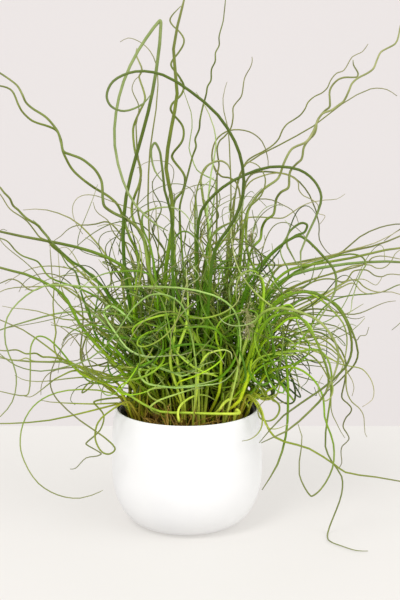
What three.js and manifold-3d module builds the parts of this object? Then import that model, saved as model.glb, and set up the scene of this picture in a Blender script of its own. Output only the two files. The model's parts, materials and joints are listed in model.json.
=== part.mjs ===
// Potted corkscrew rush: coiling green stems in a dark growing pot, stood in a round white cover pot.
// Millimetres, +Z up. The origin is the centre of the cover pot's flat underside, and the front faces -Y.
import * as THREE from "three";
import { mergeVertices } from "three/addons/utils/BufferGeometryUtils.js";
import Module from "manifold-3d";

// Cover pot
const POT_HEIGHT = 118;
const POT_WIDEST = 151;
const POT_MOUTH = 143;
const POT_BASE = 88;
const POT_BELLY_HEIGHT = 55;
const POT_WALL = 2.2;
const POT_FLOOR = 4;

// Growing pot and soil
const GROW_POT_TOP = 115;
const GROW_POT_BASE = 96;
const GROW_POT_LIP = 138.4;
const GROW_POT_LIP_DEPTH = 7;
const GROW_POT_LIP_STEP = 1.6;
const GROW_POT_WALL = 1.2;
const SOIL_TOP = 101;

// Stems
const STEM_TIP_RADIUS = 0.4;
const STEM_TAPER = 0.3;
const THIN_STEM_RADIUS = 1.45;
const THIN_STEM_TAPER = 0.55;
const THICK_STEM_RADIUS = 1.95;
const ROOT_SPACING = 6.2;
const ROOT_FIELD_RADIUS = 58;
const ROOT_RISE = 9;
const LYING_HEIGHT = 1.6;
const ROUTE_SAG = 1.4;
const WAVY_ROUTE_SAG = 0.8;
const ROUTE_LONGEST_STEP = 42;
const ROUTE_SHARPEST_TURN = 0.8;
const MOST_WIDENING = 1.4;

// Shoots: shorter stems, each joined to a long stem's foot, that arch out all round the pot in a thicket.
// They turn on round the pot by this angle from one to the next, and their sizes go through these ranges.
const SHOOT_RADIUS = 1.2;
const SHOOT_TURN = THREE.MathUtils.degToRad(137.5);
const SHOOT_REACH = [34, 92];
const SHOOT_RISE = [104, 168];
const SHOOT_BEND = [THREE.MathUtils.degToRad(75), THREE.MathUtils.degToRad(140)];
const SHOOT_WAVE = 6;
const SHOOT_STEPS = 7;

// Touching pieces keep this gap, and a curve turned on the lathe has this many sides. The middle of a leaning
// stem's foot is a little higher than the gap, so that the foot's lower edge keeps it too.
const GAP = 0.35;
const FOOT_HEIGHT = SOIL_TOP + GAP + 0.55;
const LATHE_SIDES = 32;

// The stems' routes are read off an upright drawing sheet, in millimetres from its top left corner.
// It stands in the pot's mouth, square to the line of sight of an eye in front of the plant.
const EYE_TO_SHEET = 1300;
const EYE_PITCH = THREE.MathUtils.degToRad(10.9);
const SHEET_CENTRE = [200, 300];
const MOUTH_ON_SHEET = [187, 406];

// Stem tones
const TONES = {
  dark: { color: 0x3f6b1c, roughness: 0.5, metalness: 0 },
  green: { color: 0x5f8a24, roughness: 0.5, metalness: 0 },
  lime: { color: 0x9ab82a, roughness: 0.48, metalness: 0 },
  pale: { color: 0x93b86a, roughness: 0.55, metalness: 0 },
  dusky: { color: 0x6d7a4c, roughness: 0.6, metalness: 0 },
};

// One row for each stem. root is its place across the pot, and near says how far towards the viewer it is,
// in equal steps from root to tip. seen is its course on the drawing sheet, and coil is the depth and pitch
// of its corkscrew turns towards and away from the viewer.
const STEMS = [
  {
    name: "stem_tall_fold",
    tone: "dark",
    radius: 1.95,
    root: -38,
    near: [8, 14, 26, 38, 46, 52, 66, 84, 104],
    seen: [
      [139, 350], [131, 310], [126, 280], [123, 235], [124, 215], [129, 180], [140, 143], [149, 108],
      [153, 85], [156, 72], [159, 40], [161, 26], [160, 21], [156, 25], [147, 37], [134, 58], [126, 75],
      [119, 98], [115, 120], [114, 135], [118, 165], [127, 190], [140, 211], [158, 226], [168, 231],
    ],
  },
  {
    name: "stem_wavy_left_of_centre",
    tone: "green",
    radius: 1.7,
    root: -30,
    near: [-8, -20, -46, -80, -114, -142],
    coil: [4, 45],
    seen: [
      [150, 350], [151, 305], [149, 270], [144, 240], [137, 228], [132, 215], [132, 205], [135, 195],
      [139, 185], [141, 172], [139, 162], [136, 155], [133, 135], [134, 125], [138, 115], [145, 100],
      [144, 92], [140, 80], [139, 77], [142, 70], [136, 55], [137, 48],
    ],
  },
  {
    name: "stem_big_loop",
    tone: "dark",
    radius: 2.0,
    root: 14,
    near: [22, 40, 70, 105, 130, 138, 128, 110],
    seen: [
      [205, 350], [208, 310], [211, 275], [214, 252], [221, 240], [229, 230], [234, 220], [240, 208],
      [243, 195], [244, 185], [243, 170], [240, 155], [235, 142], [229, 130], [222, 120], [213, 110],
      [205, 102], [197, 96], [187, 89], [178, 83], [170, 78], [160, 74], [150, 72], [142, 71], [133, 72],
      [124, 75], [116, 79], [110, 85], [107, 93], [107, 100], [110, 105], [115, 109], [122, 111],
      [130, 110], [138, 107], [144, 103], [151, 94],
    ],
  },
  {
    name: "stem_tallest",
    tone: "green",
    radius: 2.3,
    root: -14,
    near: [-6, 4, 18, 34, 50],
    seen: [
      [168, 355], [165, 310], [166, 275], [166, 265], [168, 250], [171, 235], [173, 220], [173, 205],
      [170, 190], [167, 180], [166, 165], [167, 150], [169, 138], [172, 125], [175, 112], [177, 100],
      [177, 90], [176, 78], [174, 65], [173, 55], [174, 45], [176, 30], [178, 22], [181, 12], [184, 0],
      [187, -12],
    ],
  },
  {
    name: "stem_sine_centre",
    tone: "green",
    radius: 1.5,
    root: -4,
    near: [-22, -34, -60, -92, -124],
    coil: [5, 40],
    seen: [
      [180, 350], [178, 300], [174, 250], [173, 215], [175, 200], [183, 190], [185, 178], [180, 168],
      [172, 157], [175, 150], [181, 143], [184, 133], [182, 125], [176, 117], [171, 111], [171, 106],
      [176, 100], [181, 95], [184, 86], [178, 75], [171, 65], [174, 58], [182, 48], [184, 40],
      [180, 32], [174, 27], [170, 20], [174, 13], [181, 6],
    ],
  },
  {
    name: "stem_hook_centre",
    tone: "dark",
    radius: 1.7,
    root: -10,
    near: [16, 40, 70, 96, 108],
    seen: [
      [176, 345], [173, 290], [172, 245], [170, 207], [166, 200], [164, 182], [163, 165], [159, 150],
      [155, 143], [152, 146], [151, 155], [152, 163], [155, 171], [163, 182],
    ],
  },
  {
    name: "stem_crinkled_tall",
    tone: "green",
    radius: 1.4,
    root: 10,
    near: [-10, -24, -44, -66, -86],
    coil: [4, 30],
    seen: [
      [199, 365], [197, 343], [190, 326], [188, 300], [184, 275], [182, 250], [180, 222], [180, 205],
      [185, 187], [189, 170], [192, 158], [196, 147], [195, 140], [199, 130], [200, 120], [203, 106],
      [206, 96], [207, 88], [211, 80], [211, 71], [215, 62], [215, 54], [219, 46], [219, 37], [222, 28],
      [224, 14], [225, 5], [226, -6],
    ],
  },
  {
    name: "stem_crinkled_short",
    tone: "dusky",
    radius: 1.3,
    root: 20,
    near: [-28, -52, -84, -118],
    coil: [4, 30],
    seen: [
      [209, 350], [213, 300], [216, 250], [217, 210], [217, 176], [219, 164], [217, 150], [219, 142],
      [224, 137], [230, 130], [233, 118], [233, 108], [236, 103], [241, 97], [243, 86], [245, 77],
      [249, 70], [252, 63], [252, 57],
    ],
  },
  {
    name: "stem_ring_right_of_centre",
    tone: "dusky",
    radius: 1.4,
    root: 30,
    near: [-12, -34, -66, -84, -100],
    seen: [
      [222, 350], [234, 300], [240, 260], [242, 225], [240, 195], [236, 182], [230, 178], [224, 178],
      [218, 173], [215, 168], [212, 160], [213, 150], [215, 142], [221, 135], [231, 130], [240, 130],
      [250, 132], [258, 137], [263, 143], [266, 150], [268, 158], [268, 168],
    ],
  },
  {
    name: "stem_high_arch_right",
    tone: "dark",
    radius: 1.8,
    root: 12,
    near: [10, 24, 40, 62, 84, 96],
    seen: [
      [199, 350], [198, 300], [197, 250], [200, 214], [208, 202], [215, 194], [222, 188], [230, 182],
      [240, 177], [250, 173], [260, 169], [270, 167], [282, 167], [293, 168], [302, 171], [311, 177],
      [317, 185], [321, 193], [321, 202], [319, 210], [312, 225], [304, 241], [301, 250], [300, 262],
      [302, 270],
    ],
  },
  {
    name: "stem_low_arch_right",
    tone: "dusky",
    radius: 1.4,
    root: 34,
    near: [-20, -44, -70, -96, -120],
    seen: [
      [228, 350], [236, 300], [239, 260], [241, 225], [244, 195], [246, 182], [252, 174], [260, 172],
      [270, 172], [280, 173], [290, 175], [297, 180], [303, 186], [308, 193], [312, 199], [316, 211],
      [319, 222], [318, 232], [321, 244], [326, 251], [333, 256],
    ],
  },
  {
    name: "stem_small_loop_right",
    tone: "green",
    radius: 1.4,
    root: 28,
    near: [4, 10, 20, 34, 44],
    seen: [
      [218, 350], [230, 310], [240, 270], [243, 235], [247, 211], [256, 203], [262, 194], [265, 186],
      [265, 177], [262, 170], [256, 164], [250, 162], [246, 163],
    ],
  },
  {
    name: "stem_thin_wavy_right",
    tone: "dusky",
    radius: 1.2,
    root: 24,
    near: [-38, -70, -110, -150, -180],
    coil: [3, 34],
    seen: [
      [214, 350], [224, 290], [228, 240], [234, 200], [240, 176], [248, 160], [258, 154], [266, 150],
      [273, 145], [278, 140], [281, 133], [285, 126], [290, 122], [298, 117], [304, 111], [307, 104],
      [312, 98], [320, 94], [326, 90], [329, 84], [332, 78], [337, 73], [343, 71], [347, 66], [353, 56],
      [359, 54], [364, 50], [368, 44],
    ],
  },
  {
    name: "stem_thin_straight_right",
    tone: "dusky",
    radius: 1.15,
    root: 30,
    near: [-44, -60, -80, -104, -130],
    seen: [
      [219, 350], [230, 290], [232, 240], [234, 205], [238, 180], [246, 164], [260, 156], [270, 150],
      [285, 142], [298, 135], [312, 127], [330, 112], [350, 99], [360, 93], [370, 89], [380, 88],
      [388, 90], [397, 96],
    ],
  },
  {
    name: "stem_wavy_right",
    tone: "green",
    radius: 1.6,
    root: 46,
    near: [-4, -10, -24, -44, -60],
    coil: [4, 34],
    seen: [
      [238, 350], [246, 310], [248, 280], [249, 258], [254, 246], [260, 240], [262, 228], [266, 220],
      [273, 215], [275, 208], [276, 200], [280, 193], [288, 188], [289, 180], [290, 172], [294, 166],
      [301, 160], [303, 153], [304, 147], [307, 142], [313, 136], [316, 130], [316, 124], [319, 118],
      [323, 112], [329, 108], [330, 103], [329, 95], [331, 88], [335, 82], [342, 78], [350, 77],
      [357, 77], [358, 73], [354, 67], [353, 60],
    ],
  },
  {
    name: "stem_wavy_right_long",
    tone: "lime",
    radius: 1.6,
    root: 52,
    near: [8, 6, -4, -24, -50, -76],
    coil: [4, 34],
    seen: [
      [250, 375], [252, 360], [255, 345], [258, 330], [260, 315], [262, 303], [263, 292], [261, 280],
      [257, 272], [251, 262], [247, 248], [246, 232], [247, 218], [250, 206], [257, 196], [265, 188],
      [272, 184], [279, 177], [281, 170], [284, 163], [288, 154], [293, 148], [300, 145], [306, 142],
      [312, 134], [318, 120], [322, 114], [330, 111], [337, 106], [343, 102], [347, 96], [350, 88],
      [353, 82], [358, 78], [366, 74], [373, 69], [376, 63], [378, 57], [382, 51], [390, 47],
      [395, 44], [398, 38], [400, 28], [403, 16], [408, 6],
    ],
  },
  {
    name: "stem_wavy_left_upper",
    tone: "lime",
    radius: 1.7,
    root: 16,
    near: [34, 44, 46, 30, 6, -18, -36],
    coil: [4, 36],
    seen: [
      [208, 365], [200, 345], [192, 334], [184, 325], [178, 314], [171, 302], [160, 291], [152, 278],
      [147, 258], [143, 237], [138, 229], [128, 220], [120, 216], [112, 212], [105, 207], [103, 200],
      [103, 190], [101, 180], [97, 172], [90, 165], [82, 159], [72, 155], [64, 152], [62, 146],
      [60, 138], [57, 130], [53, 125], [47, 118], [40, 113], [32, 108], [27, 104], [23, 96], [19, 88],
      [13, 82], [6, 77], [0, 73], [-10, 68], [-18, 60],
    ],
  },
  {
    name: "stem_wavy_left",
    tone: "green",
    radius: 1.6,
    root: -46,
    near: [-4, -10, -20, -34, -50, -60],
    coil: [4, 36],
    seen: [
      [143, 350], [141, 300], [139, 270], [136, 250], [131, 240], [127, 230], [124, 220], [119, 207],
      [113, 200], [105, 194], [98, 190], [89, 184], [80, 177], [72, 169], [67, 160], [63, 152],
      [61, 140], [56, 130], [50, 127], [40, 124], [31, 120], [24, 114], [19, 106], [16, 99], [13, 92],
      [8, 88], [0, 86], [-10, 82], [-20, 74],
    ],
  },
  {
    name: "stem_left_wavy_high",
    tone: "dusky",
    radius: 1.3,
    root: -52,
    near: [-18, -44, -76, -108, -138],
    coil: [3, 34],
    seen: [
      [132, 350], [122, 318], [98, 290], [76, 268], [60, 253], [53, 248], [49, 242], [42, 239],
      [37, 234], [33, 228], [29, 223], [23, 218], [16, 213], [9, 208], [4, 201], [0, 194], [-7, 187],
      [-16, 182],
    ],
  },
  {
    name: "stem_left_wavy_middle",
    tone: "green",
    radius: 1.7,
    root: -48,
    near: [2, 14, 26, 36, 40],
    coil: [3, 34],
    seen: [
      [135, 345], [126, 318], [118, 304], [110, 296], [102, 286], [95, 279], [88, 273], [80, 266],
      [70, 262], [65, 256], [58, 251], [53, 246], [50, 240], [46, 236], [41, 229], [36, 224], [29, 220],
      [24, 217], [21, 212], [14, 207], [11, 200], [5, 194], [0, 187], [-9, 184], [-16, 176],
    ],
  },
  {
    name: "stem_left_thick",
    tone: "green",
    radius: 2.0,
    root: -40,
    near: [12, 24, 36, 50, 66],
    seen: [
      [144, 350], [137, 322], [133, 298], [130, 282], [126, 270], [117, 262], [108, 258], [100, 254],
      [90, 251], [78, 247], [66, 244], [55, 243], [43, 240], [32, 238], [20, 236], [0, 232], [-14, 228],
      [-30, 226],
    ],
  },
  {
    name: "stem_left_wavy_low",
    tone: "green",
    radius: 1.4,
    root: -50,
    near: [-8, -20, -30, -36],
    coil: [3, 30],
    seen: [
      [132, 350], [118, 318], [98, 298], [78, 288], [66, 284], [58, 281], [53, 279], [48, 276],
      [43, 269], [40, 264], [35, 260], [28, 258], [21, 255], [16, 251], [12, 246], [7, 241], [0, 239],
      [-10, 235], [-18, 226],
    ],
  },
  {
    name: "stem_left_diagonal",
    tone: "green",
    radius: 1.9,
    root: -46,
    near: [22, 38, 52, 64, 72],
    seen: [
      [133, 385], [122, 372], [112, 361], [103, 352], [95, 343], [88, 336], [82, 328], [76, 318],
      [70, 308], [66, 298], [60, 292], [55, 288], [48, 286], [40, 281], [33, 277], [25, 274], [8, 271],
      [0, 268], [-14, 262], [-26, 252],
    ],
  },
  {
    name: "stem_left_low_wave",
    tone: "dusky",
    radius: 1.3,
    root: -40,
    near: [-26, -60, -100, -140, -165],
    coil: [3, 32],
    seen: [
      [136, 360], [118, 335], [100, 315], [82, 300], [68, 290], [56, 283], [50, 285], [42, 287],
      [36, 290], [30, 290], [24, 286], [18, 281], [12, 279], [6, 281], [0, 283], [-9, 288], [-18, 296],
    ],
  },
  {
    name: "stem_left_circle",
    tone: "pale",
    radius: 1.7,
    root: 36,
    near: [36, 52, 66, 74, 84, 96, 104],
    seen: [
      [238, 370], [241, 340], [236, 314], [226, 302], [207, 293], [180, 288], [150, 286], [125, 287],
      [100, 287], [82, 287], [60, 284], [48, 285], [33, 291], [22, 299], [13, 309], [7, 318], [5, 330],
      [5, 340], [7, 350], [10, 358], [14, 364], [16, 372], [16, 382], [15, 392], [13, 400], [10, 405],
      [5, 411], [0, 417], [-9, 423], [-20, 427],
    ],
  },
  {
    name: "stem_left_hook",
    tone: "green",
    radius: 1.4,
    root: -52,
    near: [30, 56, 84, 110, 130],
    seen: [
      [118, 390], [100, 383], [82, 375], [72, 362], [62, 352], [52, 341], [40, 336], [34, 339],
      [31, 346], [30, 360], [31, 378], [30, 389], [27, 395], [22, 396], [16, 395], [8, 393], [0, 391],
      [-14, 389],
    ],
  },
  {
    name: "stem_left_sagging",
    tone: "pale",
    radius: 1.5,
    root: 12,
    near: [40, 50, 46, 20, -16, -50, -72],
    seen: [
      [196, 372], [188, 362], [178, 355], [165, 357], [153, 358], [143, 356], [132, 352], [121, 345],
      [113, 334], [104, 323], [95, 315], [87, 312], [70, 312], [60, 313], [50, 315], [38, 318],
      [25, 322], [15, 325], [6, 328], [0, 330], [-14, 335], [-30, 345],
    ],
  },
  {
    name: "stem_left_rising",
    tone: "dusky",
    radius: 1.4,
    root: -54,
    near: [8, 0, -14, -30, -44],
    seen: [
      [114, 390], [97, 381], [80, 372], [72, 366], [63, 359], [55, 353], [45, 345], [35, 338],
      [25, 331], [15, 326], [8, 323], [0, 320], [-12, 315], [-22, 305],
    ],
  },
  {
    name: "stem_left_level_wave",
    tone: "dusky",
    radius: 1.3,
    root: -56,
    near: [14, 26, 40, 54],
    coil: [3, 26],
    seen: [
      [118, 384], [98, 374], [78, 366], [68, 361], [56, 358], [50, 357], [43, 357], [38, 354],
      [33, 353], [27, 354], [22, 352], [17, 350], [8, 351], [0, 350], [-12, 352],
    ],
  },
  {
    name: "stem_left_front_arch",
    tone: "pale",
    radius: 1.5,
    root: 6,
    near: [46, 66, 84, 96, 90, 70],
    seen: [
      [196, 365], [190, 330], [184, 308], [176, 300], [166, 295], [154, 294], [146, 297], [138, 303],
      [130, 312], [124, 322], [116, 334], [106, 346], [94, 356], [82, 362], [72, 366], [65, 367],
      [55, 370], [45, 371], [35, 371], [25, 369], [17, 366], [10, 362], [2, 356], [-6, 347],
    ],
  },
  {
    name: "stem_left_hanging_loop",
    tone: "dusky",
    radius: 1.4,
    root: -44,
    near: [34, 52, 60, 62, 74, 90, 100],
    seen: [
      [128, 402], [122, 405], [114, 409], [107, 413], [101, 418], [97, 425], [95, 433], [96, 442],
      [100, 450], [106, 454], [112, 453], [115, 449], [112, 443], [104, 437], [96, 431], [85, 424],
      [73, 415], [62, 405], [54, 395], [50, 383], [51, 372], [55, 362], [60, 353], [63, 347],
      [68, 340], [74, 336], [82, 333], [90, 331],
    ],
  },
  {
    name: "stem_left_great_sweep",
    tone: "green",
    radius: 1.5,
    root: -48,
    near: [22, 36, 50, 70, 92, 112],
    seen: [
      [132, 401], [124, 397], [112, 394], [104, 391], [95, 390], [85, 390], [75, 389], [65, 391],
      [55, 393], [46, 397], [38, 402], [31, 409], [26, 416], [23, 424], [21, 434], [20, 443], [22, 453],
      [25, 463], [29, 471], [35, 480], [43, 487], [52, 493], [62, 496], [72, 498], [82, 498], [91, 496],
      [98, 493], [103, 490],
    ],
  },
  {
    name: "stem_left_thin_level",
    tone: "dusky",
    radius: 1.1,
    root: -50,
    near: [30, 34, 30, 24, 20],
    seen: [
      [128, 404], [117, 405], [106, 408], [97, 410], [85, 412], [73, 416], [60, 418], [45, 421],
      [30, 422], [15, 423], [0, 424], [-16, 424], [-30, 421],
    ],
  },
  {
    name: "stem_left_folded_tip",
    tone: "dusky",
    radius: 1.2,
    root: -50,
    near: [26, 34, 44, 56, 66],
    seen: [
      [128, 399], [118, 398], [108, 399], [98, 400], [94, 402], [96, 406], [102, 411], [104, 418],
      [102, 426], [98, 433], [92, 438], [87, 441], [86, 444], [92, 447], [99, 451], [101, 454],
      [97, 456], [89, 456], [84, 460], [80, 465], [77, 468], [70, 469],
    ],
  },
  {
    name: "stem_left_small_hook",
    tone: "dusky",
    radius: 1.2,
    root: -42,
    near: [-34, -64, -94, -116],
    seen: [
      [138, 365], [128, 338], [118, 312], [113, 309], [107, 303], [100, 298], [92, 296], [86, 297],
      [84, 300], [86, 305], [88, 312], [91, 322], [94, 330], [96, 337], [95, 343], [90, 348],
      [83, 356], [76, 361], [68, 361],
    ],
  },
  {
    name: "stem_right_high",
    tone: "dusky",
    radius: 1.5,
    root: 40,
    near: [-36, -64, -96, -128, -160],
    seen: [
      [240, 350], [256, 310], [268, 284], [280, 266], [295, 263], [305, 262], [315, 260], [325, 257],
      [335, 255], [342, 252], [350, 251], [360, 249], [370, 247], [380, 243], [390, 239], [400, 236],
      [412, 230], [422, 218],
    ],
  },
  {
    name: "stem_right_folded_back",
    tone: "dusky",
    radius: 1.3,
    root: 44,
    near: [-24, -50, -80, -112, -134],
    seen: [
      [246, 350], [262, 310], [286, 280], [312, 265], [330, 258], [342, 252], [350, 244], [358, 238],
      [366, 233], [375, 229], [385, 226], [394, 224], [401, 224], [404, 226], [400, 229], [395, 231],
      [390, 236], [384, 241],
    ],
  },
  {
    name: "stem_right_bright",
    tone: "pale",
    radius: 2.0,
    root: 48,
    near: [-12, -6, 8, 26, 44],
    seen: [
      [250, 350], [258, 318], [268, 295], [280, 282], [290, 276], [300, 272], [312, 269], [325, 267],
      [340, 265], [355, 263], [370, 262], [385, 262], [400, 262], [416, 264], [432, 270],
    ],
  },
  {
    name: "stem_right_level",
    tone: "green",
    radius: 1.7,
    root: 44,
    near: [2, 14, 30, 48, 62],
    seen: [
      [246, 345], [258, 310], [272, 285], [286, 272], [300, 266], [315, 264], [330, 262], [342, 260],
      [355, 257], [365, 254], [375, 252], [385, 250], [400, 249], [414, 245], [426, 236],
    ],
  },
  {
    name: "stem_right_wavy_low",
    tone: "dusky",
    radius: 1.2,
    root: 50,
    near: [-20, -46, -74, -100],
    coil: [3, 22],
    seen: [
      [254, 350], [272, 315], [298, 290], [318, 280], [332, 279], [341, 282], [346, 281], [350, 275],
      [354, 271], [360, 270], [366, 270], [371, 273], [376, 276], [381, 277], [386, 275], [392, 274],
      [400, 275], [410, 272],
    ],
  },
  {
    name: "stem_right_pointed_arch",
    tone: "dark",
    radius: 1.7,
    root: 42,
    near: [6, 20, 40, 62, 78],
    seen: [
      [240, 355], [240, 325], [243, 300], [247, 284], [258, 268], [266, 259], [275, 250], [284, 243],
      [292, 238], [300, 236], [304, 238], [310, 243], [316, 249], [322, 255], [328, 261], [332, 266],
      [335, 272], [336, 280], [336, 288], [333, 296], [329, 304], [324, 311], [320, 318], [315, 325],
      [313, 330],
    ],
  },
  {
    name: "stem_right_knot",
    tone: "dark",
    radius: 1.6,
    root: 38,
    near: [0, 12, 22, 30, 40],
    seen: [
      [236, 350], [240, 310], [254, 280], [270, 256], [284, 244], [294, 236], [301, 235], [306, 230],
      [307, 225], [302, 223], [294, 227], [290, 231], [287, 237], [287, 245], [290, 253], [295, 260],
      [298, 265], [301, 271], [305, 275],
    ],
  },
  {
    name: "stem_right_great_arch",
    tone: "green",
    radius: 1.8,
    root: 46,
    near: [14, 32, 54, 76, 92, 100],
    seen: [
      [252, 355], [262, 325], [276, 304], [292, 294], [306, 292], [318, 294], [326, 298], [334, 304],
      [341, 312], [346, 320], [349, 328], [351, 337], [352, 345], [351, 355], [348, 363], [344, 369],
      [338, 375], [330, 383], [322, 389], [312, 395], [300, 403], [288, 412], [281, 418], [273, 428],
      [264, 438], [259, 443],
    ],
  },
  {
    name: "stem_right_inner_arch",
    tone: "green",
    radius: 1.5,
    root: 44,
    near: [22, 48, 80, 108, 124, 130],
    seen: [
      [248, 360], [258, 333], [274, 316], [292, 313], [306, 323], [314, 337], [319, 347], [322, 355],
      [324, 362], [327, 372], [329, 380], [327, 390], [320, 401], [310, 411], [300, 421], [290, 429],
      [281, 434], [270, 439], [261, 443],
    ],
  },
  {
    name: "stem_right_bright_arch",
    tone: "lime",
    radius: 1.9,
    root: 38,
    near: [30, 56, 84, 106, 120],
    seen: [
      [240, 360], [250, 332], [264, 312], [280, 308], [290, 310], [300, 313], [310, 316], [318, 320],
      [325, 327], [331, 334], [335, 342], [338, 350], [339, 358], [337, 366], [335, 374], [332, 381],
      [323, 396],
    ],
  },
  {
    name: "stem_right_outer_arch",
    tone: "green",
    radius: 1.5,
    root: 52,
    near: [-4, -16, -30, -46, -56],
    seen: [
      [258, 350], [276, 318], [296, 302], [314, 297], [331, 301], [340, 308], [346, 318], [350, 328],
      [354, 338], [357, 346], [358, 354], [356, 362], [352, 368], [347, 373], [341, 378], [333, 387],
      [325, 393],
    ],
  },
  {
    name: "stem_right_drooping",
    tone: "green",
    radius: 1.6,
    root: 54,
    near: [20, 28, 36, 46, 56],
    seen: [
      [258, 392], [264, 372], [272, 352], [280, 345], [285, 354], [287, 375], [287, 390], [288, 405],
      [288, 420], [286, 435], [283, 448], [279, 461], [274, 471], [268, 482], [262, 490],
    ],
  },
  {
    name: "stem_right_low_level",
    tone: "dusky",
    radius: 1.3,
    root: 50,
    near: [34, 50, 60, 66, 70],
    seen: [
      [248, 395], [256, 403], [261, 412], [264, 421], [268, 427], [271, 433], [276, 438], [285, 441],
      [298, 444], [310, 449], [320, 454], [328, 459], [334, 464], [340, 470], [348, 473], [360, 476],
      [372, 477], [384, 477], [392, 479], [400, 481], [412, 485], [424, 491],
    ],
  },
  {
    name: "stem_right_trailing",
    tone: "lime",
    radius: 1.4,
    root: 46,
    near: [28, 40, 52, 50, 46, 44, 40],
    seen: [
      [246, 378], [262, 357], [275, 355], [290, 354], [302, 351], [314, 349], [325, 355], [331, 370],
      [332, 390], [330, 408], [326, 424], [325, 442], [326, 450], [329, 458], [334, 464], [339, 470],
      [342, 478], [343, 487], [341, 496], [338, 505], [334, 514], [330, 524], [328, 532], [328, 538],
      [331, 542], [338, 545], [346, 547], [353, 550], [361, 551], [368, 551],
    ],
  },
  {
    name: "stem_right_u_fold",
    tone: "green",
    radius: 1.4,
    root: 50,
    near: [18, 44, 70, 92, 108],
    seen: [
      [258, 385], [274, 370], [296, 368], [314, 380], [323, 396], [323, 410], [326, 421], [330, 431],
      [333, 441], [334, 452], [334, 462], [331, 472], [327, 481], [321, 489], [315, 495], [311, 496],
      [308, 492], [304, 485], [300, 478], [299, 468], [300, 457], [302, 438], [301, 430], [298, 424],
    ],
  },
  {
    name: "stem_right_wavy_drop",
    tone: "dusky",
    radius: 1.2,
    root: 56,
    near: [-10, -34, -60, -84],
    coil: [3, 30],
    seen: [
      [264, 360], [290, 336], [318, 332], [338, 346], [346, 364], [345, 380], [342, 398], [346, 402],
      [351, 407], [351, 412], [347, 416], [343, 426], [346, 432], [349, 437], [348, 441], [343, 445],
      [341, 450], [342, 462], [339, 468],
    ],
  },
  {
    name: "stem_rim_hook",
    tone: "dusky",
    radius: 1.2,
    root: 44,
    near: [30, 46, 58, 66],
    seen: [
      [240, 392], [246, 388], [252, 391], [258, 400], [262, 408], [264, 415], [263, 422], [261, 430],
      [256, 435], [249, 439], [243, 441],
    ],
  },
  {
    name: "stem_across_mouth",
    tone: "lime",
    radius: 1.9,
    root: 54,
    near: [42, 50, 50, 40, 28, 24, 30, 36],
    seen: [
      [239, 414], [225, 415], [212, 413], [200, 412], [190, 412], [180, 413], [168, 413], [158, 411],
      [149, 408], [142, 403], [137, 399], [130, 395], [118, 390], [104, 383], [88, 373], [74, 364],
      [60, 361], [50, 362], [30, 361], [20, 361], [10, 360], [0, 357], [-12, 352],
    ],
  },
  {
    name: "stem_yellow_green",
    tone: "lime",
    radius: 1.9,
    root: 22,
    near: [-4, -14, -30, -46],
    seen: [
      [212, 350], [212, 310], [210, 275], [209, 245], [208, 225], [205, 205], [201, 190], [201, 178],
      [205, 168], [214, 162], [222, 161], [228, 165], [230, 170],
    ],
  },
];

// One row for each flower head: a drooping brown tuft beside a stem, inside a sleeve of this radius.
const FLOWER_HEADS = [
  { name: "flower_head_drooping", seen: [[240, 308], [246, 320], [252, 338]], near: [64, 66, 70], sleeve: 6 },
  { name: "flower_head_upper", seen: [[251, 231], [251, 242]], near: [-4, -4], sleeve: 4.5 },
  { name: "flower_head_right", seen: [[293, 289], [301, 291]], near: [30, 30], sleeve: 4.5 },
];
const SPIKELETS_PER_HEAD = 7;
const SPIKELET_RADIUS = 1.1;
const FLOWER_CORE_RADIUS = 0.9;

// The eye in front of the plant, and the place in space of a point on the drawing sheet
const sightAhead = new THREE.Vector3(0, Math.cos(EYE_PITCH), -Math.sin(EYE_PITCH));
const sheetUp = new THREE.Vector3(0, Math.sin(EYE_PITCH), Math.cos(EYE_PITCH));
const mouthCentre = new THREE.Vector3(0, 0, POT_HEIGHT);
const eye = mouthCentre
  .clone()
  .addScaledVector(sightAhead, -EYE_TO_SHEET)
  .addScaledVector(sheetUp, MOUTH_ON_SHEET[1] - SHEET_CENTRE[1]);
eye.x += SHEET_CENTRE[0] - MOUTH_ON_SHEET[0];

// The point of the line of sight through a sheet point that lies this far in front of the pot's axis,
// or where that would be under the table, the point of the same line just above it
function placeInSpace(sheetPoint, near) {
  const ray = mouthCentre.clone().addScaledVector(sheetUp, MOUTH_ON_SHEET[1] - sheetPoint[1]).sub(eye);
  ray.x += sheetPoint[0] - MOUTH_ON_SHEET[0];
  const reach = (-near - eye.y) / ray.y;
  const tableReach = ray.z < 0 ? (LYING_HEIGHT - eye.z) / ray.z : Infinity;
  return eye.clone().addScaledVector(ray, Math.min(reach, tableReach));
}

// The value of an evenly spaced list at a share of its length, eased through its entries
function valueAlong(list, share) {
  const place = THREE.MathUtils.clamp(share, 0, 1) * (list.length - 1);
  const i = Math.min(Math.floor(place), list.length - 2);
  return THREE.MathUtils.lerp(list[i], list[i + 1], THREE.MathUtils.smoothstep(place - i, 0, 1));
}

// The lengths from the first point to each point of a list of sheet points
function lengthsAlong(points) {
  const lengths = [0];
  for (let i = 1; i < points.length; i++) {
    const [dx, dy] = [points[i][0] - points[i - 1][0], points[i][1] - points[i - 1][1]];
    lengths.push(lengths[i - 1] + Math.hypot(dx, dy));
  }
  return lengths;
}

// Roots are moved apart on the soil until each has room for its stem.
function spreadRoots(rows) {
  const roots = rows.map((row) => new THREE.Vector2(row.root, -row.near[0]));
  for (let round = 0; round < 200; round++) {
    for (let i = 0; i < roots.length; i++) {
      for (let j = i + 1; j < roots.length; j++) {
        const apart = roots[j].clone().sub(roots[i]);
        const shortfall = ROOT_SPACING - apart.length();
        if (shortfall <= 0) continue;
        apart.setLength(shortfall / 2);
        roots[i].sub(apart);
        roots[j].add(apart);
      }
    }
    roots.forEach((root) => root.clampLength(0, ROOT_FIELD_RADIUS));
  }
  return roots;
}

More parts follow.
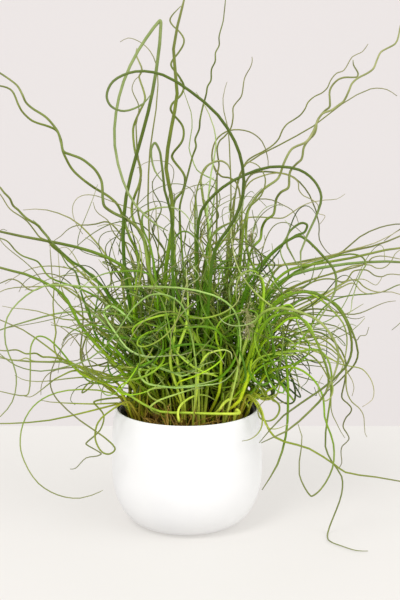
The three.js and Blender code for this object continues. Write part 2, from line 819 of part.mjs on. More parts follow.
// A stem's smooth course in space: up out of the soil, then through its sheet points
function stemCurve(row, root) {
  const foot = new THREE.Vector3(root.x, root.y, FOOT_HEIGHT);
  const footOnSheet = [MOUTH_ON_SHEET[0] + root.x, MOUTH_ON_SHEET[1] + POT_HEIGHT - SOIL_TOP];
  const lengths = lengthsAlong([footOnSheet, ...row.seen]);
  const total = lengths[lengths.length - 1];
  const [coilDepth, coilPitch] = row.coil ?? [0, 1];
  const points = row.seen.map((sheetPoint, i) => {
    const run = lengths[i + 1];
    const turn = coilDepth * Math.min(1, run / total / 0.4) * Math.sin((2 * Math.PI * run) / coilPitch);
    return placeInSpace(sheetPoint, valueAlong(row.near, run / total) + turn);
  });
  const shoulder = foot.clone().lerp(points[0], Math.min(0.4, ROOT_RISE / foot.distanceTo(points[0])));
  shoulder.x = THREE.MathUtils.lerp(foot.x, shoulder.x, 0.5);
  shoulder.y = THREE.MathUtils.lerp(foot.y, shoulder.y, 0.5);
  return new THREE.CatmullRomCurve3([foot, shoulder, ...points], false, "centripetal");
}

// A shoot's smooth course: from its stem's foot it arches out over the rim and sways from side to side.
function shootCurve(root, number) {
  const angle = number * SHOOT_TURN;
  const out = new THREE.Vector3(Math.cos(angle), Math.sin(angle), 0);
  const across = new THREE.Vector3(-out.y, out.x, 0);
  const reach = THREE.MathUtils.lerp(...SHOOT_REACH, (number * 0.38) % 1);
  const rise = THREE.MathUtils.lerp(...SHOOT_RISE, (number * 0.62) % 1);
  const bend = THREE.MathUtils.lerp(...SHOOT_BEND, (number * 0.23) % 1);
  const points = [];
  for (let step = 0; step <= SHOOT_STEPS; step++) {
    const turn = (bend * step) / SHOOT_STEPS;
    const point = new THREE.Vector3(root.x, root.y, FOOT_HEIGHT + rise * Math.sin(turn));
    point.addScaledVector(out, (reach * (1 - Math.cos(turn))) / (1 - Math.cos(bend)));
    point.addScaledVector(across, (SHOOT_WAVE * step * Math.sin(2.2 * step + number)) / SHOOT_STEPS);
    points.push(point);
  }
  return new THREE.CatmullRomCurve3(points, false, "centripetal");
}

// The fewest points of a curve that follow it within the allowed sag, step and turn
function fewestPoints(curve, sag = ROUTE_SAG) {
  const fine = curve.getPoints(curve.points.length * 10);
  const kept = [0];
  const chord = new THREE.Line3();
  const nearest = new THREE.Vector3();
  const first = new THREE.Vector3();
  const last = new THREE.Vector3();
  while (kept[kept.length - 1] < fine.length - 1) {
    const from = kept[kept.length - 1];
    let to = from + 1;
    for (let tryTo = from + 2; tryTo < fine.length; tryTo++) {
      chord.set(fine[from], fine[tryTo]);
      first.subVectors(fine[from + 1], fine[from]);
      last.subVectors(fine[tryTo], fine[tryTo - 1]);
      const sags = fine
        .slice(from + 1, tryTo)
        .some((point) => chord.closestPointToPoint(point, true, nearest).distanceTo(point) > sag);
      if (sags || chord.distance() > ROUTE_LONGEST_STEP || first.angleTo(last) > ROUTE_SHARPEST_TURN) break;
      to = tryTo;
    }
    kept.push(to);
  }
  return kept.map((i) => fine[i]);
}

// A strand is a row of ring centres with a radius at each, and the length from its foot to each.
function makeStrand(name, points, radiusAt, fixed = false) {
  const lengths = [0];
  for (let i = 1; i < points.length; i++) {
    lengths.push(lengths[i - 1] + points[i].distanceTo(points[i - 1]));
  }
  const total = lengths[lengths.length - 1];
  const radii = lengths.map((length) => radiusAt(length / total));
  return { name, points, radii, lengths, fixed };
}

// The nearest points of two segments, as a share along each and the distance between them
function nearestOfSegments(a0, a1, b0, b1) {
  const ax = a1.x - a0.x;
  const ay = a1.y - a0.y;
  const az = a1.z - a0.z;
  const bx = b1.x - b0.x;
  const by = b1.y - b0.y;
  const bz = b1.z - b0.z;
  const cx = a0.x - b0.x;
  const cy = a0.y - b0.y;
  const cz = a0.z - b0.z;
  const aa = ax * ax + ay * ay + az * az;
  const bb = bx * bx + by * by + bz * bz;
  const ab = ax * bx + ay * by + az * bz;
  const ac = ax * cx + ay * cy + az * cz;
  const bc = bx * cx + by * cy + bz * cz;
  const slack = aa * bb - ab * ab;
  let s = slack > 1e-9 ? THREE.MathUtils.clamp((ab * bc - ac * bb) / slack, 0, 1) : 0;
  let t = (ab * s + bc) / bb;
  if (t < 0 || t > 1) {
    t = THREE.MathUtils.clamp(t, 0, 1);
    s = THREE.MathUtils.clamp((ab * t - ac) / aa, 0, 1);
  }
  const distance = Math.hypot(cx + ax * s - bx * t, cy + ay * s - by * t, cz + az * s - bz * t);
  return { s, t, distance };
}

// How far a push reaches along a stem, and how far from the foot it takes hold
const PUSH_REACH = 16;
const PUSH_FOOT = 14;

// Moves the rings around a place on a strand along the line of sight, so the front view stays as it is.
function pushAlongSight(strand, place, amount) {
  if (strand.fixed) return;
  for (let k = 1; k < strand.points.length; k++) {
    const spacing = Math.min(strand.lengths[k] - strand.lengths[k - 1], PUSH_REACH);
    const reach = Math.max(0, Math.abs(strand.lengths[k] - place) - spacing) / PUSH_REACH;
    if (reach > 1) continue;
    const share = (1 - reach * reach) * Math.min(1, strand.lengths[k] / PUSH_FOOT);
    const sight = strand.points[k].clone().sub(eye).normalize();
    strand.points[k].addScaledVector(sight, amount * share);
  }
}

// Visits every pair of segments of two strands, or of one, that come closer than their radii and the gap.
function visitClosePairs(a, b, visit) {
  for (let i = 0; i < a.points.length - 1; i++) {
    const reachA = Math.max(a.radii[i], a.radii[i + 1]);
    const firstB = a === b ? i + 2 : 0;
    for (let j = firstB; j < b.points.length - 1; j++) {
      if (a === b && a.lengths[j] - a.lengths[i + 1] < 4 * reachA) continue;
      const need = reachA + Math.max(b.radii[j], b.radii[j + 1]) + GAP;
      const a0 = a.points[i];
      const a1 = a.points[i + 1];
      const b0 = b.points[j];
      const b1 = b.points[j + 1];
      if (Math.min(a0.x, a1.x) - need > Math.max(b0.x, b1.x)) continue;
      if (Math.min(b0.x, b1.x) - need > Math.max(a0.x, a1.x)) continue;
      if (Math.min(a0.z, a1.z) - need > Math.max(b0.z, b1.z)) continue;
      if (Math.min(b0.z, b1.z) - need > Math.max(a0.z, a1.z)) continue;
      if (Math.min(a0.y, a1.y) - need > Math.max(b0.y, b1.y)) continue;
      if (Math.min(b0.y, b1.y) - need > Math.max(a0.y, a1.y)) continue;
      const { s, t, distance } = nearestOfSegments(a0, a1, b0, b1);
      if (distance < need) visit(i, j, s, t, need - distance);
    }
  }
}

// Every pair of segments that comes too close is moved apart, one nearer to the eye and one further.
function separate(strands) {
  let found = 0;
  const boxes = strands.map((strand) => new THREE.Box3().setFromPoints(strand.points).expandByScalar(4));
  const moveApart = (a, b) => {
    visitClosePairs(a, b, (i, j, s, t, shortfall) => {
      found += 1;
      const depthA = THREE.MathUtils.lerp(a.points[i].y, a.points[i + 1].y, s);
      const depthB = THREE.MathUtils.lerp(b.points[j].y, b.points[j + 1].y, t);
      const side = depthA < depthB || (depthA === depthB && i < j) ? -1 : 1;
      const amount = side * Math.min(1.5, 0.5 * shortfall + 0.1);
      pushAlongSight(a, THREE.MathUtils.lerp(a.lengths[i], a.lengths[i + 1], s), amount);
      pushAlongSight(b, THREE.MathUtils.lerp(b.lengths[j], b.lengths[j + 1], t), -amount);
    });
  };
  for (let i = 0; i < strands.length; i++) {
    moveApart(strands[i], strands[i]);
    for (let j = i + 1; j < strands.length; j++) {
      if (boxes[i].intersectsBox(boxes[j])) moveApart(strands[i], strands[j]);
    }
  }
  return found;
}

// The cover pot's outside radius at a height: a quarter ellipse to the belly, then a slow turn in above it
function potRadius(height) {
  const below = 1 - height / POT_BELLY_HEIGHT;
  if (below > 0) {
    return THREE.MathUtils.lerp(POT_BASE / 2, POT_WIDEST / 2, Math.sqrt(1 - below * below));
  }
  const above = (height - POT_BELLY_HEIGHT) / (POT_HEIGHT - POT_BELLY_HEIGHT);
  return THREE.MathUtils.lerp(POT_WIDEST / 2, POT_MOUTH / 2, Math.min(1, above) ** 3.5);
}

// The radius inside the growing pot at a height
function growPotBore(height) {
  const share = height / GROW_POT_TOP;
  const top = GROW_POT_LIP / 2 - GROW_POT_LIP_STEP;
  return THREE.MathUtils.lerp(GROW_POT_BASE / 2, top, share) - GROW_POT_WALL;
}

// Stems pass over the rim, hang outside the pot or stay inside it, and lie on the table, never through them.
const RIM_REACH = 7;
const RING_WIDENING = 1.1;
function keepClearOfPot(strand) {
  let moved = 0;
  const nudge = (k, share, move) => {
    [
      [k, 1 - share],
      [k + 1, share],
    ].forEach(([ring, part]) => {
      if (ring > 0) strand.points[ring].addScaledVector(move, Math.min(1, 2 * part));
    });
    moved += 1;
  };
  for (let k = 0; k < strand.points.length - 1; k++) {
    for (let share = 0; share <= 1; share += 1 / 8) {
      const point = strand.points[k].clone().lerp(strand.points[k + 1], share);
      const reach = Math.max(strand.radii[k], strand.radii[k + 1]) * RING_WIDENING + GAP;
      if (point.z < reach) nudge(k, share, new THREE.Vector3(0, 0, reach - point.z + 0.05));
      if (point.z > POT_HEIGHT + reach) continue;
      const out = Math.hypot(point.x, point.y);
      const outward = new THREE.Vector3(point.x / out, point.y / out, 0);
      const inside = growPotBore(Math.min(point.z, GROW_POT_TOP)) * Math.cos(Math.PI / LATHE_SIDES) - reach;
      const outside = potRadius(THREE.MathUtils.clamp(point.z, 0, POT_HEIGHT)) + reach;
      if (out <= inside || out >= outside) continue;
      if (point.z > POT_HEIGHT - RIM_REACH) {
        nudge(k, share, new THREE.Vector3(0, 0, Math.min(1, POT_HEIGHT + reach - point.z + 0.05)));
      } else if (out > (inside + outside) / 2) {
        nudge(k, share, outward.multiplyScalar(Math.min(2, outside - out + 0.05)));
      } else {
        nudge(k, share, outward.multiplyScalar(Math.max(-2, inside - out - 0.05)));
      }
    }
  }
  return moved;
}

// A closed tube with a ring at each of a strand's points, widened across its bends to keep its thickness
function tubeGeometry({ points, radii }, sides) {
  const positions = [];
  const indices = [];
  const end = points.length - 1;
  let side = null;
  points.forEach((point, k) => {
    const before = Math.max(k, 1) - 1;
    const after = Math.min(k, end - 1) + 1;
    const arriving = new THREE.Vector3().subVectors(points[before + 1], points[before]).normalize();
    const leaving = new THREE.Vector3().subVectors(points[after], points[after - 1]).normalize();
    const along = arriving.clone().add(leaving).normalize();
    const bendWay = leaving.clone().addScaledVector(along, -leaving.dot(along)).normalize();
    const widening = Math.min(MOST_WIDENING, 1 / Math.cos(arriving.angleTo(leaving) / 2)) - 1;
    side = side ?? new THREE.Vector3(0, 1, 0).cross(along);
    side.addScaledVector(along, -side.dot(along)).normalize();
    const across = along.clone().cross(side);
    for (let i = 0; i < sides; i++) {
      const angle = (2 * Math.PI * i) / sides;
      const spoke = side.clone().multiplyScalar(Math.cos(angle)).addScaledVector(across, Math.sin(angle));
      spoke.addScaledVector(bendWay, widening * spoke.dot(bendWay));
      positions.push(...point.clone().addScaledVector(spoke, radii[k]).toArray());
    }
  });
  for (let k = 0; k < points.length - 1; k++) {
    for (let i = 0; i < sides; i++) {
      const a = k * sides + i;
      const b = k * sides + ((i + 1) % sides);
      indices.push(a, b, b + sides, a, b + sides, a + sides);
    }
  }
  const last = (points.length - 1) * sides;
  for (let i = 1; i < sides - 1; i++) {
    indices.push(0, i + 1, i);
    indices.push(last, last + i, last + i + 1);
  }
  const geometry = new THREE.BufferGeometry();
  geometry.setAttribute("position", new THREE.Float32BufferAttribute(positions, 3));
  geometry.setIndex(indices);
  geometry.computeVertexNormals();
  return geometry;
}

const wasm = await Module();
wasm.setup();

// A closed geometry as a solid that can be joined
function solidOf(geometry) {
  const bare = geometry.clone();
  bare.deleteAttribute("normal");
  bare.deleteAttribute("uv");
  const merged = mergeVertices(bare);
  return new wasm.Manifold(
    new wasm.Mesh({
      numProp: 3,
      vertProperties: merged.attributes.position.array,
      triVerts: new Uint32Array(merged.index.array),
    }),
  );
}

function geometryOf(solid) {
  const mesh = solid.getMesh();
  const geometry = new THREE.BufferGeometry();
  geometry.setAttribute("position", new THREE.BufferAttribute(mesh.vertProperties, 3));
  geometry.setIndex(new THREE.BufferAttribute(mesh.triVerts, 1));
  geometry.computeVertexNormals();
  return geometry;
}

// A flower head: pointed spikelets set round a drooping core, all inside its sleeve
function flowerHeadGeometry(strand) {
  const curve = new THREE.CatmullRomCurve3(strand.points);
  const core = { ...strand, radii: strand.points.map(() => FLOWER_CORE_RADIUS) };
  let head = solidOf(tubeGeometry(core, 5));
  for (let i = 0; i < SPIKELETS_PER_HEAD; i++) {
    const share = (i + 0.5) / SPIKELETS_PER_HEAD;
    const around = i * 2.4;
    const along = curve.getTangent(share);
    const out = new THREE.Vector3(Math.cos(around), Math.sin(around), 0.25);
    const direction = out.addScaledVector(along, 0.5 - out.dot(along)).normalize();
    const length = strand.radii[0] - SPIKELET_RADIUS;
    const spikelet = new THREE.OctahedronGeometry(1);
    spikelet.scale(SPIKELET_RADIUS, SPIKELET_RADIUS, length / 2 + 0.4);
    const turn = new THREE.Quaternion().setFromUnitVectors(new THREE.Vector3(0, 0, 1), direction);
    const centre = curve.getPoint(share).addScaledVector(direction, length / 2);
    spikelet.applyQuaternion(turn).translate(centre.x, centre.y, centre.z);
    head = head.add(solidOf(spikelet));
  }
  return geometryOf(head);
}

// The three turned pieces
function latheGeometry(profile) {
  const points = profile.map(([radius, height]) => new THREE.Vector2(radius, height));
  return new THREE.LatheGeometry(points, LATHE_SIDES).rotateX(Math.PI / 2);
}

function coverPotGeometry() {
  const outside = [[0, 0], [POT_BASE / 2 - 1.5, 0], [POT_BASE / 2 + 4, 0.6]];
  for (const degrees of [20, 34, 48, 62, 76, 90]) {
    const height = POT_BELLY_HEIGHT * (1 - Math.cos(THREE.MathUtils.degToRad(degrees)));
    outside.push([potRadius(height), height]);
  }
  for (const height of [84, 102, POT_HEIGHT - 0.9]) {
    outside.push([potRadius(height), height]);
  }
  const lip = potRadius(POT_HEIGHT) - POT_WALL / 2;
  const inside = [];
  for (const height of [POT_HEIGHT - 0.9, 96, POT_BELLY_HEIGHT, 26, 8]) {
    inside.push([potRadius(height) - POT_WALL, height]);
  }
  const floor = [[potRadius(POT_FLOOR) - 5, POT_FLOOR], [0, POT_FLOOR]];
  return latheGeometry([...outside, [lip, POT_HEIGHT], ...inside, ...floor]);
}

function growPotGeometry() {
  const foot = POT_FLOOR + GAP;
  const lip = GROW_POT_LIP / 2;
  const lipFoot = GROW_POT_TOP - GROW_POT_LIP_DEPTH;
  return latheGeometry([
    [0, foot],
    [growPotBore(0) + GROW_POT_WALL, foot],
    [growPotBore(lipFoot) + GROW_POT_WALL, lipFoot],
    [lip, lipFoot + 0.5],
    [lip, GROW_POT_TOP],
    [growPotBore(GROW_POT_TOP), GROW_POT_TOP],
    [growPotBore(foot + GROW_POT_WALL), foot + GROW_POT_WALL],
    [0, foot + GROW_POT_WALL],
  ]);
}

function soilGeometry() {
  const bottom = POT_FLOOR + GROW_POT_WALL + 2 * GAP;
  return latheGeometry([
    [0, bottom],
    [growPotBore(bottom) - GAP, bottom],
    [growPotBore(SOIL_TOP) - GAP, SOIL_TOP - 1],
    [growPotBore(SOIL_TOP) - 2, SOIL_TOP],
    [0, SOIL_TOP],
  ]);
}

// A stem's radius at a share of its length, from this much at the foot down to the tip's
function taper(radius, power) {
  return (share) => STEM_TIP_RADIUS + (radius - STEM_TIP_RADIUS) * (1 - share) ** power;
}

// Stems are worked out together, so that each finds its own way past the others.
const MOST_ROUNDS = 400;
const roots = spreadRoots(STEMS);
const stemStrands = STEMS.map((row, i) => {
  const power = row.radius < THIN_STEM_RADIUS ? THIN_STEM_TAPER : STEM_TAPER;
  const sag = row.coil ? WAVY_ROUTE_SAG : ROUTE_SAG;
  return makeStrand(row.name, fewestPoints(stemCurve(row, roots[i]), sag), taper(row.radius, power));
});
const headStrands = FLOWER_HEADS.map((row) => {
  const points = row.seen.map((sheetPoint, i) => placeInSpace(sheetPoint, row.near[i]));
  return makeStrand(row.name, points, () => row.sleeve, true);
});
for (let round = 0; round < MOST_ROUNDS; round++) {
  let moved = 0;
  for (const strand of stemStrands) moved += keepClearOfPot(strand);
  moved += separate([...stemStrands, ...headStrands]);
  if (!moved) break;
}

// Then each stem's shoot takes the first way that is clear of the pots and, once it has left its own stem's
// foot, of every stem and shoot.
const SHOOT_TRIES = 40;
const SHOOT_LEAVES_STEM = 20;
const standing = [...stemStrands, ...headStrands];
const shoots = stemStrands.map((stem, i) => {
  for (let tried = 0; tried < SHOOT_TRIES; tried++) {
    const points = fewestPoints(shootCurve(roots[i], i + tried * STEMS.length));
    const shoot = makeStrand(stem.name, points, taper(SHOOT_RADIUS, THIN_STEM_TAPER));
    let met = keepClearOfPot(shoot);
    standing.forEach((other) => {
      visitClosePairs(shoot, other, (i, j, s) => {
        const place = THREE.MathUtils.lerp(shoot.lengths[i], shoot.lengths[i + 1], s);
        if (other !== stem || place > SHOOT_LEAVES_STEM) met += 1;
      });
    });
    if (met) continue;
    standing.push(shoot);
    return shoot;
  }
  return null;
});

// A stem, with its shoot joined to it at the foot
function tuftGeometry(stem, shoot) {
  const tube = tubeGeometry(stem, stem.radii[0] >= THICK_STEM_RADIUS ? 4 : 3);
  return shoot ? geometryOf(solidOf(tube).add(solidOf(tubeGeometry(shoot, 3)))) : tube;
}

// The plant in its pots
const plant = new THREE.Group();
function addPiece(name, geometry, look) {
  const mesh = new THREE.Mesh(geometry, new THREE.MeshStandardMaterial(look));
  mesh.name = name;
  plant.add(mesh);
}
addPiece("cover_pot", coverPotGeometry(), { color: 0xf4f4f2, roughness: 0.35, metalness: 0 });
addPiece("growing_pot", growPotGeometry(), { color: 0x34342f, roughness: 0.6, metalness: 0 });
addPiece("potting_soil", soilGeometry(), { color: 0x2e2016, roughness: 0.95, metalness: 0 });
stemStrands.forEach((strand, i) => {
  addPiece(strand.name, tuftGeometry(strand, shoots[i]), TONES[STEMS[i].tone]);
});
headStrands.forEach((strand) => {
  addPiece(strand.name, flowerHeadGeometry(strand), { color: 0x8f8658, roughness: 0.8, metalness: 0 });
});

export default plant;
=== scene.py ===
"""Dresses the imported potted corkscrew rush: round stems, the thicket between them, the pots and the soil.

Routes are in millimetres in the frame of the part: the pot stands on z = 0 and its front faces -Y.
"""

import math

import bpy
import numpy as np
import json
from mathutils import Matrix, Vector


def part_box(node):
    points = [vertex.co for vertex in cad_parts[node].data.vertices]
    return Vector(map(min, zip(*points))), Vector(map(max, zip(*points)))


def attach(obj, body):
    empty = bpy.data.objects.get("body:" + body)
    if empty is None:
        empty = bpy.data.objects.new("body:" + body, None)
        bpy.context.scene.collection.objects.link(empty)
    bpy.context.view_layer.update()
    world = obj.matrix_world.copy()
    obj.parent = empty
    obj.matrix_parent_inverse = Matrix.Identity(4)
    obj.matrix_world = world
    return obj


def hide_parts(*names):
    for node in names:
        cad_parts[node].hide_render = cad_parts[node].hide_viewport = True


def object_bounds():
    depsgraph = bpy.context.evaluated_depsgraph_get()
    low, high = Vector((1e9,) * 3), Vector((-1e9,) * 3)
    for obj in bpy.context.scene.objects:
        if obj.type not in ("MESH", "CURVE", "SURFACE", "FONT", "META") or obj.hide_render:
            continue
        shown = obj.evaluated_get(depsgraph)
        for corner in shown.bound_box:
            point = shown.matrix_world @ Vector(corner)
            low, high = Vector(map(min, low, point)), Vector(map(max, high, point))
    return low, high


MM = 0.001

# The camera is the eye of the drawing sheet that the stems' routes are read off. The sheet stands upright in
# the pot's mouth, square to the line of sight, and its points are millimetres from its top left corner.
SHEET_DISTANCE = 1300
SHEET_CENTRE = (200, 300)
SHEET_HEIGHT = 600
MOUTH_ON_SHEET = (187, 406)
EYE_PITCH = math.radians(10.9)
SENSOR = 36

# The pots and the soil
POT_HEIGHT = 118
POT_BASE = 44
POT_BELLY = 75.5
POT_BELLY_HEIGHT = 55
POT_MOUTH = 71.5
POT_WALL = 2.2
POT_FLOOR = 4
LINER_TOP = 115
LINER_LIP = 69.2
LINER_LIP_DEPTH = 7
LINER_WALL = 1.2
LINER_BASE = 48
SOIL_TOP = 101
SOIL_RADIUS = 63.5
TURNED_SIDES = 144

# Stems
TIP_RADIUS = 0.3
EVENNESS = 2.2
TIP_BLUNTNESS = 0.8
ROOT_DEPTH = 3
LYING_HEIGHT = 1.2
FOOT_SLIMNESS = 0.6
FOOT_LENGTH = 80
# A finer course: points closer than this are one, and its longest step and largest turn
SAME_PLACE = 0.05
LONGEST_STEP = 27
LARGEST_TURN = math.radians(11)
# Painted shade inside the thicket: the middle and half-sizes of its dark inside, and how bright the stems in
# its middle are painted
PAINTED_SHADE_MIDDLE = (6, 12, 158)
PAINTED_SHADE_HALF = (78, 66, 80)
PAINTED_SHADE_BRIGHTNESS = 0.25


def srgb(code):
    """A colour written as six hex digits, in linear light."""
    parts = [int(code[i : i + 2], 16) / 255 for i in (0, 2, 4)]
    return tuple(p / 12.92 if p <= 0.04045 else ((p + 0.055) / 1.055) ** 2.4 for p in parts) + (1.0,)


def grey(level):
    return (level, level, level, 1)


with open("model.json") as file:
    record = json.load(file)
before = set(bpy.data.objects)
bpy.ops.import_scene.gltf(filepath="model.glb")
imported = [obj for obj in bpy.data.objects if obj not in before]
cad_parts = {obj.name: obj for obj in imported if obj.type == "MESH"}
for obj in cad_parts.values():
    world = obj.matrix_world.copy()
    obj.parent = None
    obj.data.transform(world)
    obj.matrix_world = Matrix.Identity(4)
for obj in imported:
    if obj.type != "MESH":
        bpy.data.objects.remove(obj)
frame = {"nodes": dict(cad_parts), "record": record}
cad_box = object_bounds()


# The eye and its sheet
sight_ahead = np.array([0, math.cos(EYE_PITCH), -math.sin(EYE_PITCH)])
sheet_up = np.array([0, math.sin(EYE_PITCH), math.cos(EYE_PITCH)])
mouth = np.array([0, 0, POT_HEIGHT])
eye = mouth - SHEET_DISTANCE * sight_ahead + (MOUTH_ON_SHEET[1] - SHEET_CENTRE[1]) * sheet_up
eye[0] += SHEET_CENTRE[0] - MOUTH_ON_SHEET[0]


def place_in_space(sheet_point, near):
    """The point of the line of sight through a sheet point that lies this far in front of the pot's axis,
    or just above the table where that would be under it."""
    ray = mouth + (MOUTH_ON_SHEET[1] - sheet_point[1]) * sheet_up - eye
    ray[0] += sheet_point[0] - MOUTH_ON_SHEET[0]
    reach = (-near - eye[1]) / ray[1]
    if ray[2] < 0:
        reach = min(reach, (LYING_HEIGHT - eye[2]) / ray[2])
    return eye + reach * ray


def add_object(name, data):
    thing = bpy.data.objects.new(name, data)
    bpy.context.scene.collection.objects.link(thing)
    return thing


def add_camera():
    data = bpy.data.cameras.new("camera")
    data.sensor_fit = "VERTICAL"
    data.sensor_height = SENSOR
    data.lens = SENSOR * SHEET_DISTANCE / SHEET_HEIGHT
    data.clip_start = 0.05
    data.clip_end = 20
    camera = add_object("camera", data)
    camera.location = eye * MM
    camera.rotation_euler = (math.pi / 2 - EYE_PITCH, 0, 0)
    bpy.context.scene.camera = camera


add_camera()


# Materials
class Nodes:
    """A material's node tree, with short ways to add nodes and join them."""

    def __init__(self, name):
        self.material = bpy.data.materials.new(name)
        self.material.use_nodes = True
        self.tree = self.material.node_tree
        self.shader = self.tree.nodes["Principled BSDF"]

    def add(self, kind, **settings):
        node = self.tree.nodes.new(kind)
        for key, value in settings.items():
            setattr(node, key, value)
        return node

    def feed(self, socket, value):
        """Joins another node's output to a socket, or gives the socket a plain value."""
        if hasattr(value, "is_linked"):
            self.tree.links.new(value, socket)
        else:
            socket.default_value = value

    def fill(self, node, **values):
        for name, value in values.items():
            self.feed(node.inputs[name], value)

    def noise(self, scale, detail=3, roughness=0.5):
        node = self.add("ShaderNodeTexNoise")
        place = self.add("ShaderNodeTexCoord").outputs["Object"]
        self.fill(node, Scale=scale, Detail=detail, Roughness=roughness, Vector=place)
        return node.outputs["Fac"]

    def attribute(self, name):
        return self.add("ShaderNodeAttribute", attribute_name=name).outputs["Fac"]

    def ramp(self, factor, stops):
        node = self.add("ShaderNodeValToRGB")
        elements = node.color_ramp.elements
        while len(elements) > 1:
            elements.remove(elements[-1])
        elements[0].position, elements[0].color = stops[0]
        for position, colour in stops[1:]:
            elements.new(position).color = colour
        self.fill(node, Fac=factor)
        return node.outputs["Color"]

    def mix(self, factor, first, second, blend="MIX"):
        node = self.add("ShaderNodeMix", data_type="RGBA", blend_type=blend)
        self.fill(node, Factor=factor, A=first, B=second)
        return next(o for o in node.outputs if o.type == "RGBA")

    def math(self, operation, *values):
        node = self.add("ShaderNodeMath", operation=operation)
        for socket, value in zip(node.inputs, values):
            self.feed(socket, value)
        return node.outputs["Value"]

    def bump(self, height, strength, distance):
        node = self.add("ShaderNodeBump")
        self.fill(node, Strength=strength, Distance=distance, Height=height)
        self.set("Normal", node.outputs["Normal"])

    def set(self, socket, value):
        self.feed(self.shader.inputs[socket], value)


# Colours along a stem: at its foot, young, fully green, far out and at its dry tip
STEM_COLOURS = {
    "dark": ("7e801e", "7ca010", "54800a", "596824", "909a72"),
    "green": ("aea830", "a4b818", "7aa014", "6c7632", "868660"),
    "lime": ("c8cc54", "b0c448", "96b23e", "747e44", "8e8e6c"),
    "pale": ("b0b44c", "acc064", "94b468", "869860", "787a54"),
    "dusky": ("98802c", "909a2c", "7c8636", "72743e", "8a846e"),
}
# How many metres from its foot a stem is young, green and far out, and up to where it has its foot's colour
YOUNG_RUN = 0.06
FULL_RUN = 0.13
FAR_RUN = 0.24
FOOT_STOP = 0.07
DRY_FROM = 0.78
STEM_GROOVES = 9
TINT_STOPS = (0, 0.45, 1)
STEM_TINTS = ((0.3, 0.4, 0.15, 1), (1.28, 1.3, 0.98, 1), (2.4, 2.3, 2.5, 1))


def stem_material(tone):
    foot, young, full, far, tip = (srgb(code) for code in STEM_COLOURS[tone])
    nodes = Nodes("rush_stem_" + tone)
    run = nodes.math("MULTIPLY", nodes.attribute("run"), 1 / FAR_RUN)
    stops = [(0, foot), (FOOT_STOP, foot), (YOUNG_RUN / FAR_RUN, young), (FULL_RUN / FAR_RUN, full), (1, far)]
    dry = nodes.ramp(nodes.attribute("along"), [(DRY_FROM, grey(0)), (1, grey(0.9))])
    colour = nodes.mix(dry, nodes.ramp(run, stops), tip)
    # The tint attribute carries each stem's random tone times the painted shade inside the thicket
    tint = nodes.ramp(nodes.attribute("tint"), list(zip(TINT_STOPS, STEM_TINTS)))
    colour = nodes.mix(1.0, colour, tint, "MULTIPLY")
    # Mottle along the stems: partly their own uneven green, partly painted light and shade standing in for
    # glints
    mottle = nodes.ramp(nodes.noise(55, 4, 0.6), [(0.35, (0.62, 0.7, 0.5, 1)), (0.65, grey(1))])
    colour = nodes.mix(0.8, colour, mottle, "MULTIPLY")
    nodes.set("Base Color", colour)
    turns = nodes.math("MULTIPLY", nodes.attribute("around"), 2 * math.pi * STEM_GROOVES)
    nodes.bump(nodes.math("SINE", turns), strength=0.35, distance=0.00025)
    nodes.set("Roughness", nodes.ramp(nodes.noise(600, 2), [(0.3, grey(0.4)), (0.7, grey(0.55))]))
    nodes.set("Specular IOR Level", 0.25)
    return nodes.material


def pot_material():
    nodes = Nodes("white_glaze")
    whites = [(0.3, srgb("e5e5e6")), (0.7, srgb("ebebeb"))]
    nodes.set("Base Color", nodes.ramp(nodes.noise(14, 3), whites))
    nodes.set("Roughness", nodes.ramp(nodes.noise(90, 3), [(0.3, grey(0.38)), (0.7, grey(0.5))]))
    nodes.bump(nodes.noise(420, 2), strength=0.05, distance=0.0004)
    return nodes.material


def liner_material():
    nodes = Nodes("dark_moulded_plastic")
    dust = [(0.35, srgb("3c3c38")), (0.75, srgb("5c5b54"))]
    nodes.set("Base Color", nodes.ramp(nodes.noise(70, 5, 0.65), dust))
    nodes.bump(nodes.noise(900, 2), strength=0.2, distance=0.0002)
    nodes.set("Roughness", 0.55)
    return nodes.material


def soil_material():
    nodes = Nodes("damp_peat")
    crumbs = nodes.noise(480, 6, 0.7)
    browns = [(0.3, srgb("1d130b")), (0.5, srgb("38260f")), (0.62, srgb("5d4420")), (0.75, srgb("8a6c34"))]
    nodes.set("Base Color", nodes.ramp(crumbs, browns))
    nodes.bump(crumbs, strength=0.8, distance=0.003)
    nodes.set("Roughness", 0.95)
    return nodes.material


def dry_material(name, colours, shadow, mottling, grain, depth, rough):
    """Straw or spikelets: three colours by tint, mottled with a shadow, over a fine grain."""
    nodes = Nodes(name)
    colour = nodes.ramp(nodes.attribute("tint"), list(zip((0, 0.5, 1), map(srgb, colours))))
    mottle = nodes.ramp(nodes.noise(mottling, 4, 0.6), [(0.3, shadow), (0.7, grey(1))])
    nodes.set("Base Color", nodes.mix(0.7, colour, mottle, "MULTIPLY"))
    nodes.bump(nodes.noise(grain, 2), strength=0.3, distance=depth)
    nodes.set("Roughness", rough)
    return nodes.material


def stage_material(name, code, rough, glow):
    nodes = Nodes(name)
    paler = tuple(c * 0.985 for c in srgb(code)[:3]) + (1,)
    nodes.set("Base Color", nodes.mix(nodes.noise(1.3, 2), srgb(code), paler))
    nodes.set("Roughness", rough)
    nodes.set("Emission Color", srgb(code))
    nodes.set("Emission Strength", glow)
    return nodes.material


STEM_MATERIALS = {tone: stem_material(tone) for tone in STEM_COLOURS}


# Meshes
BLOB_SIDES = 5
BLOB_RINGS = ((-0.45, 0.85), (0.3, 0.9))


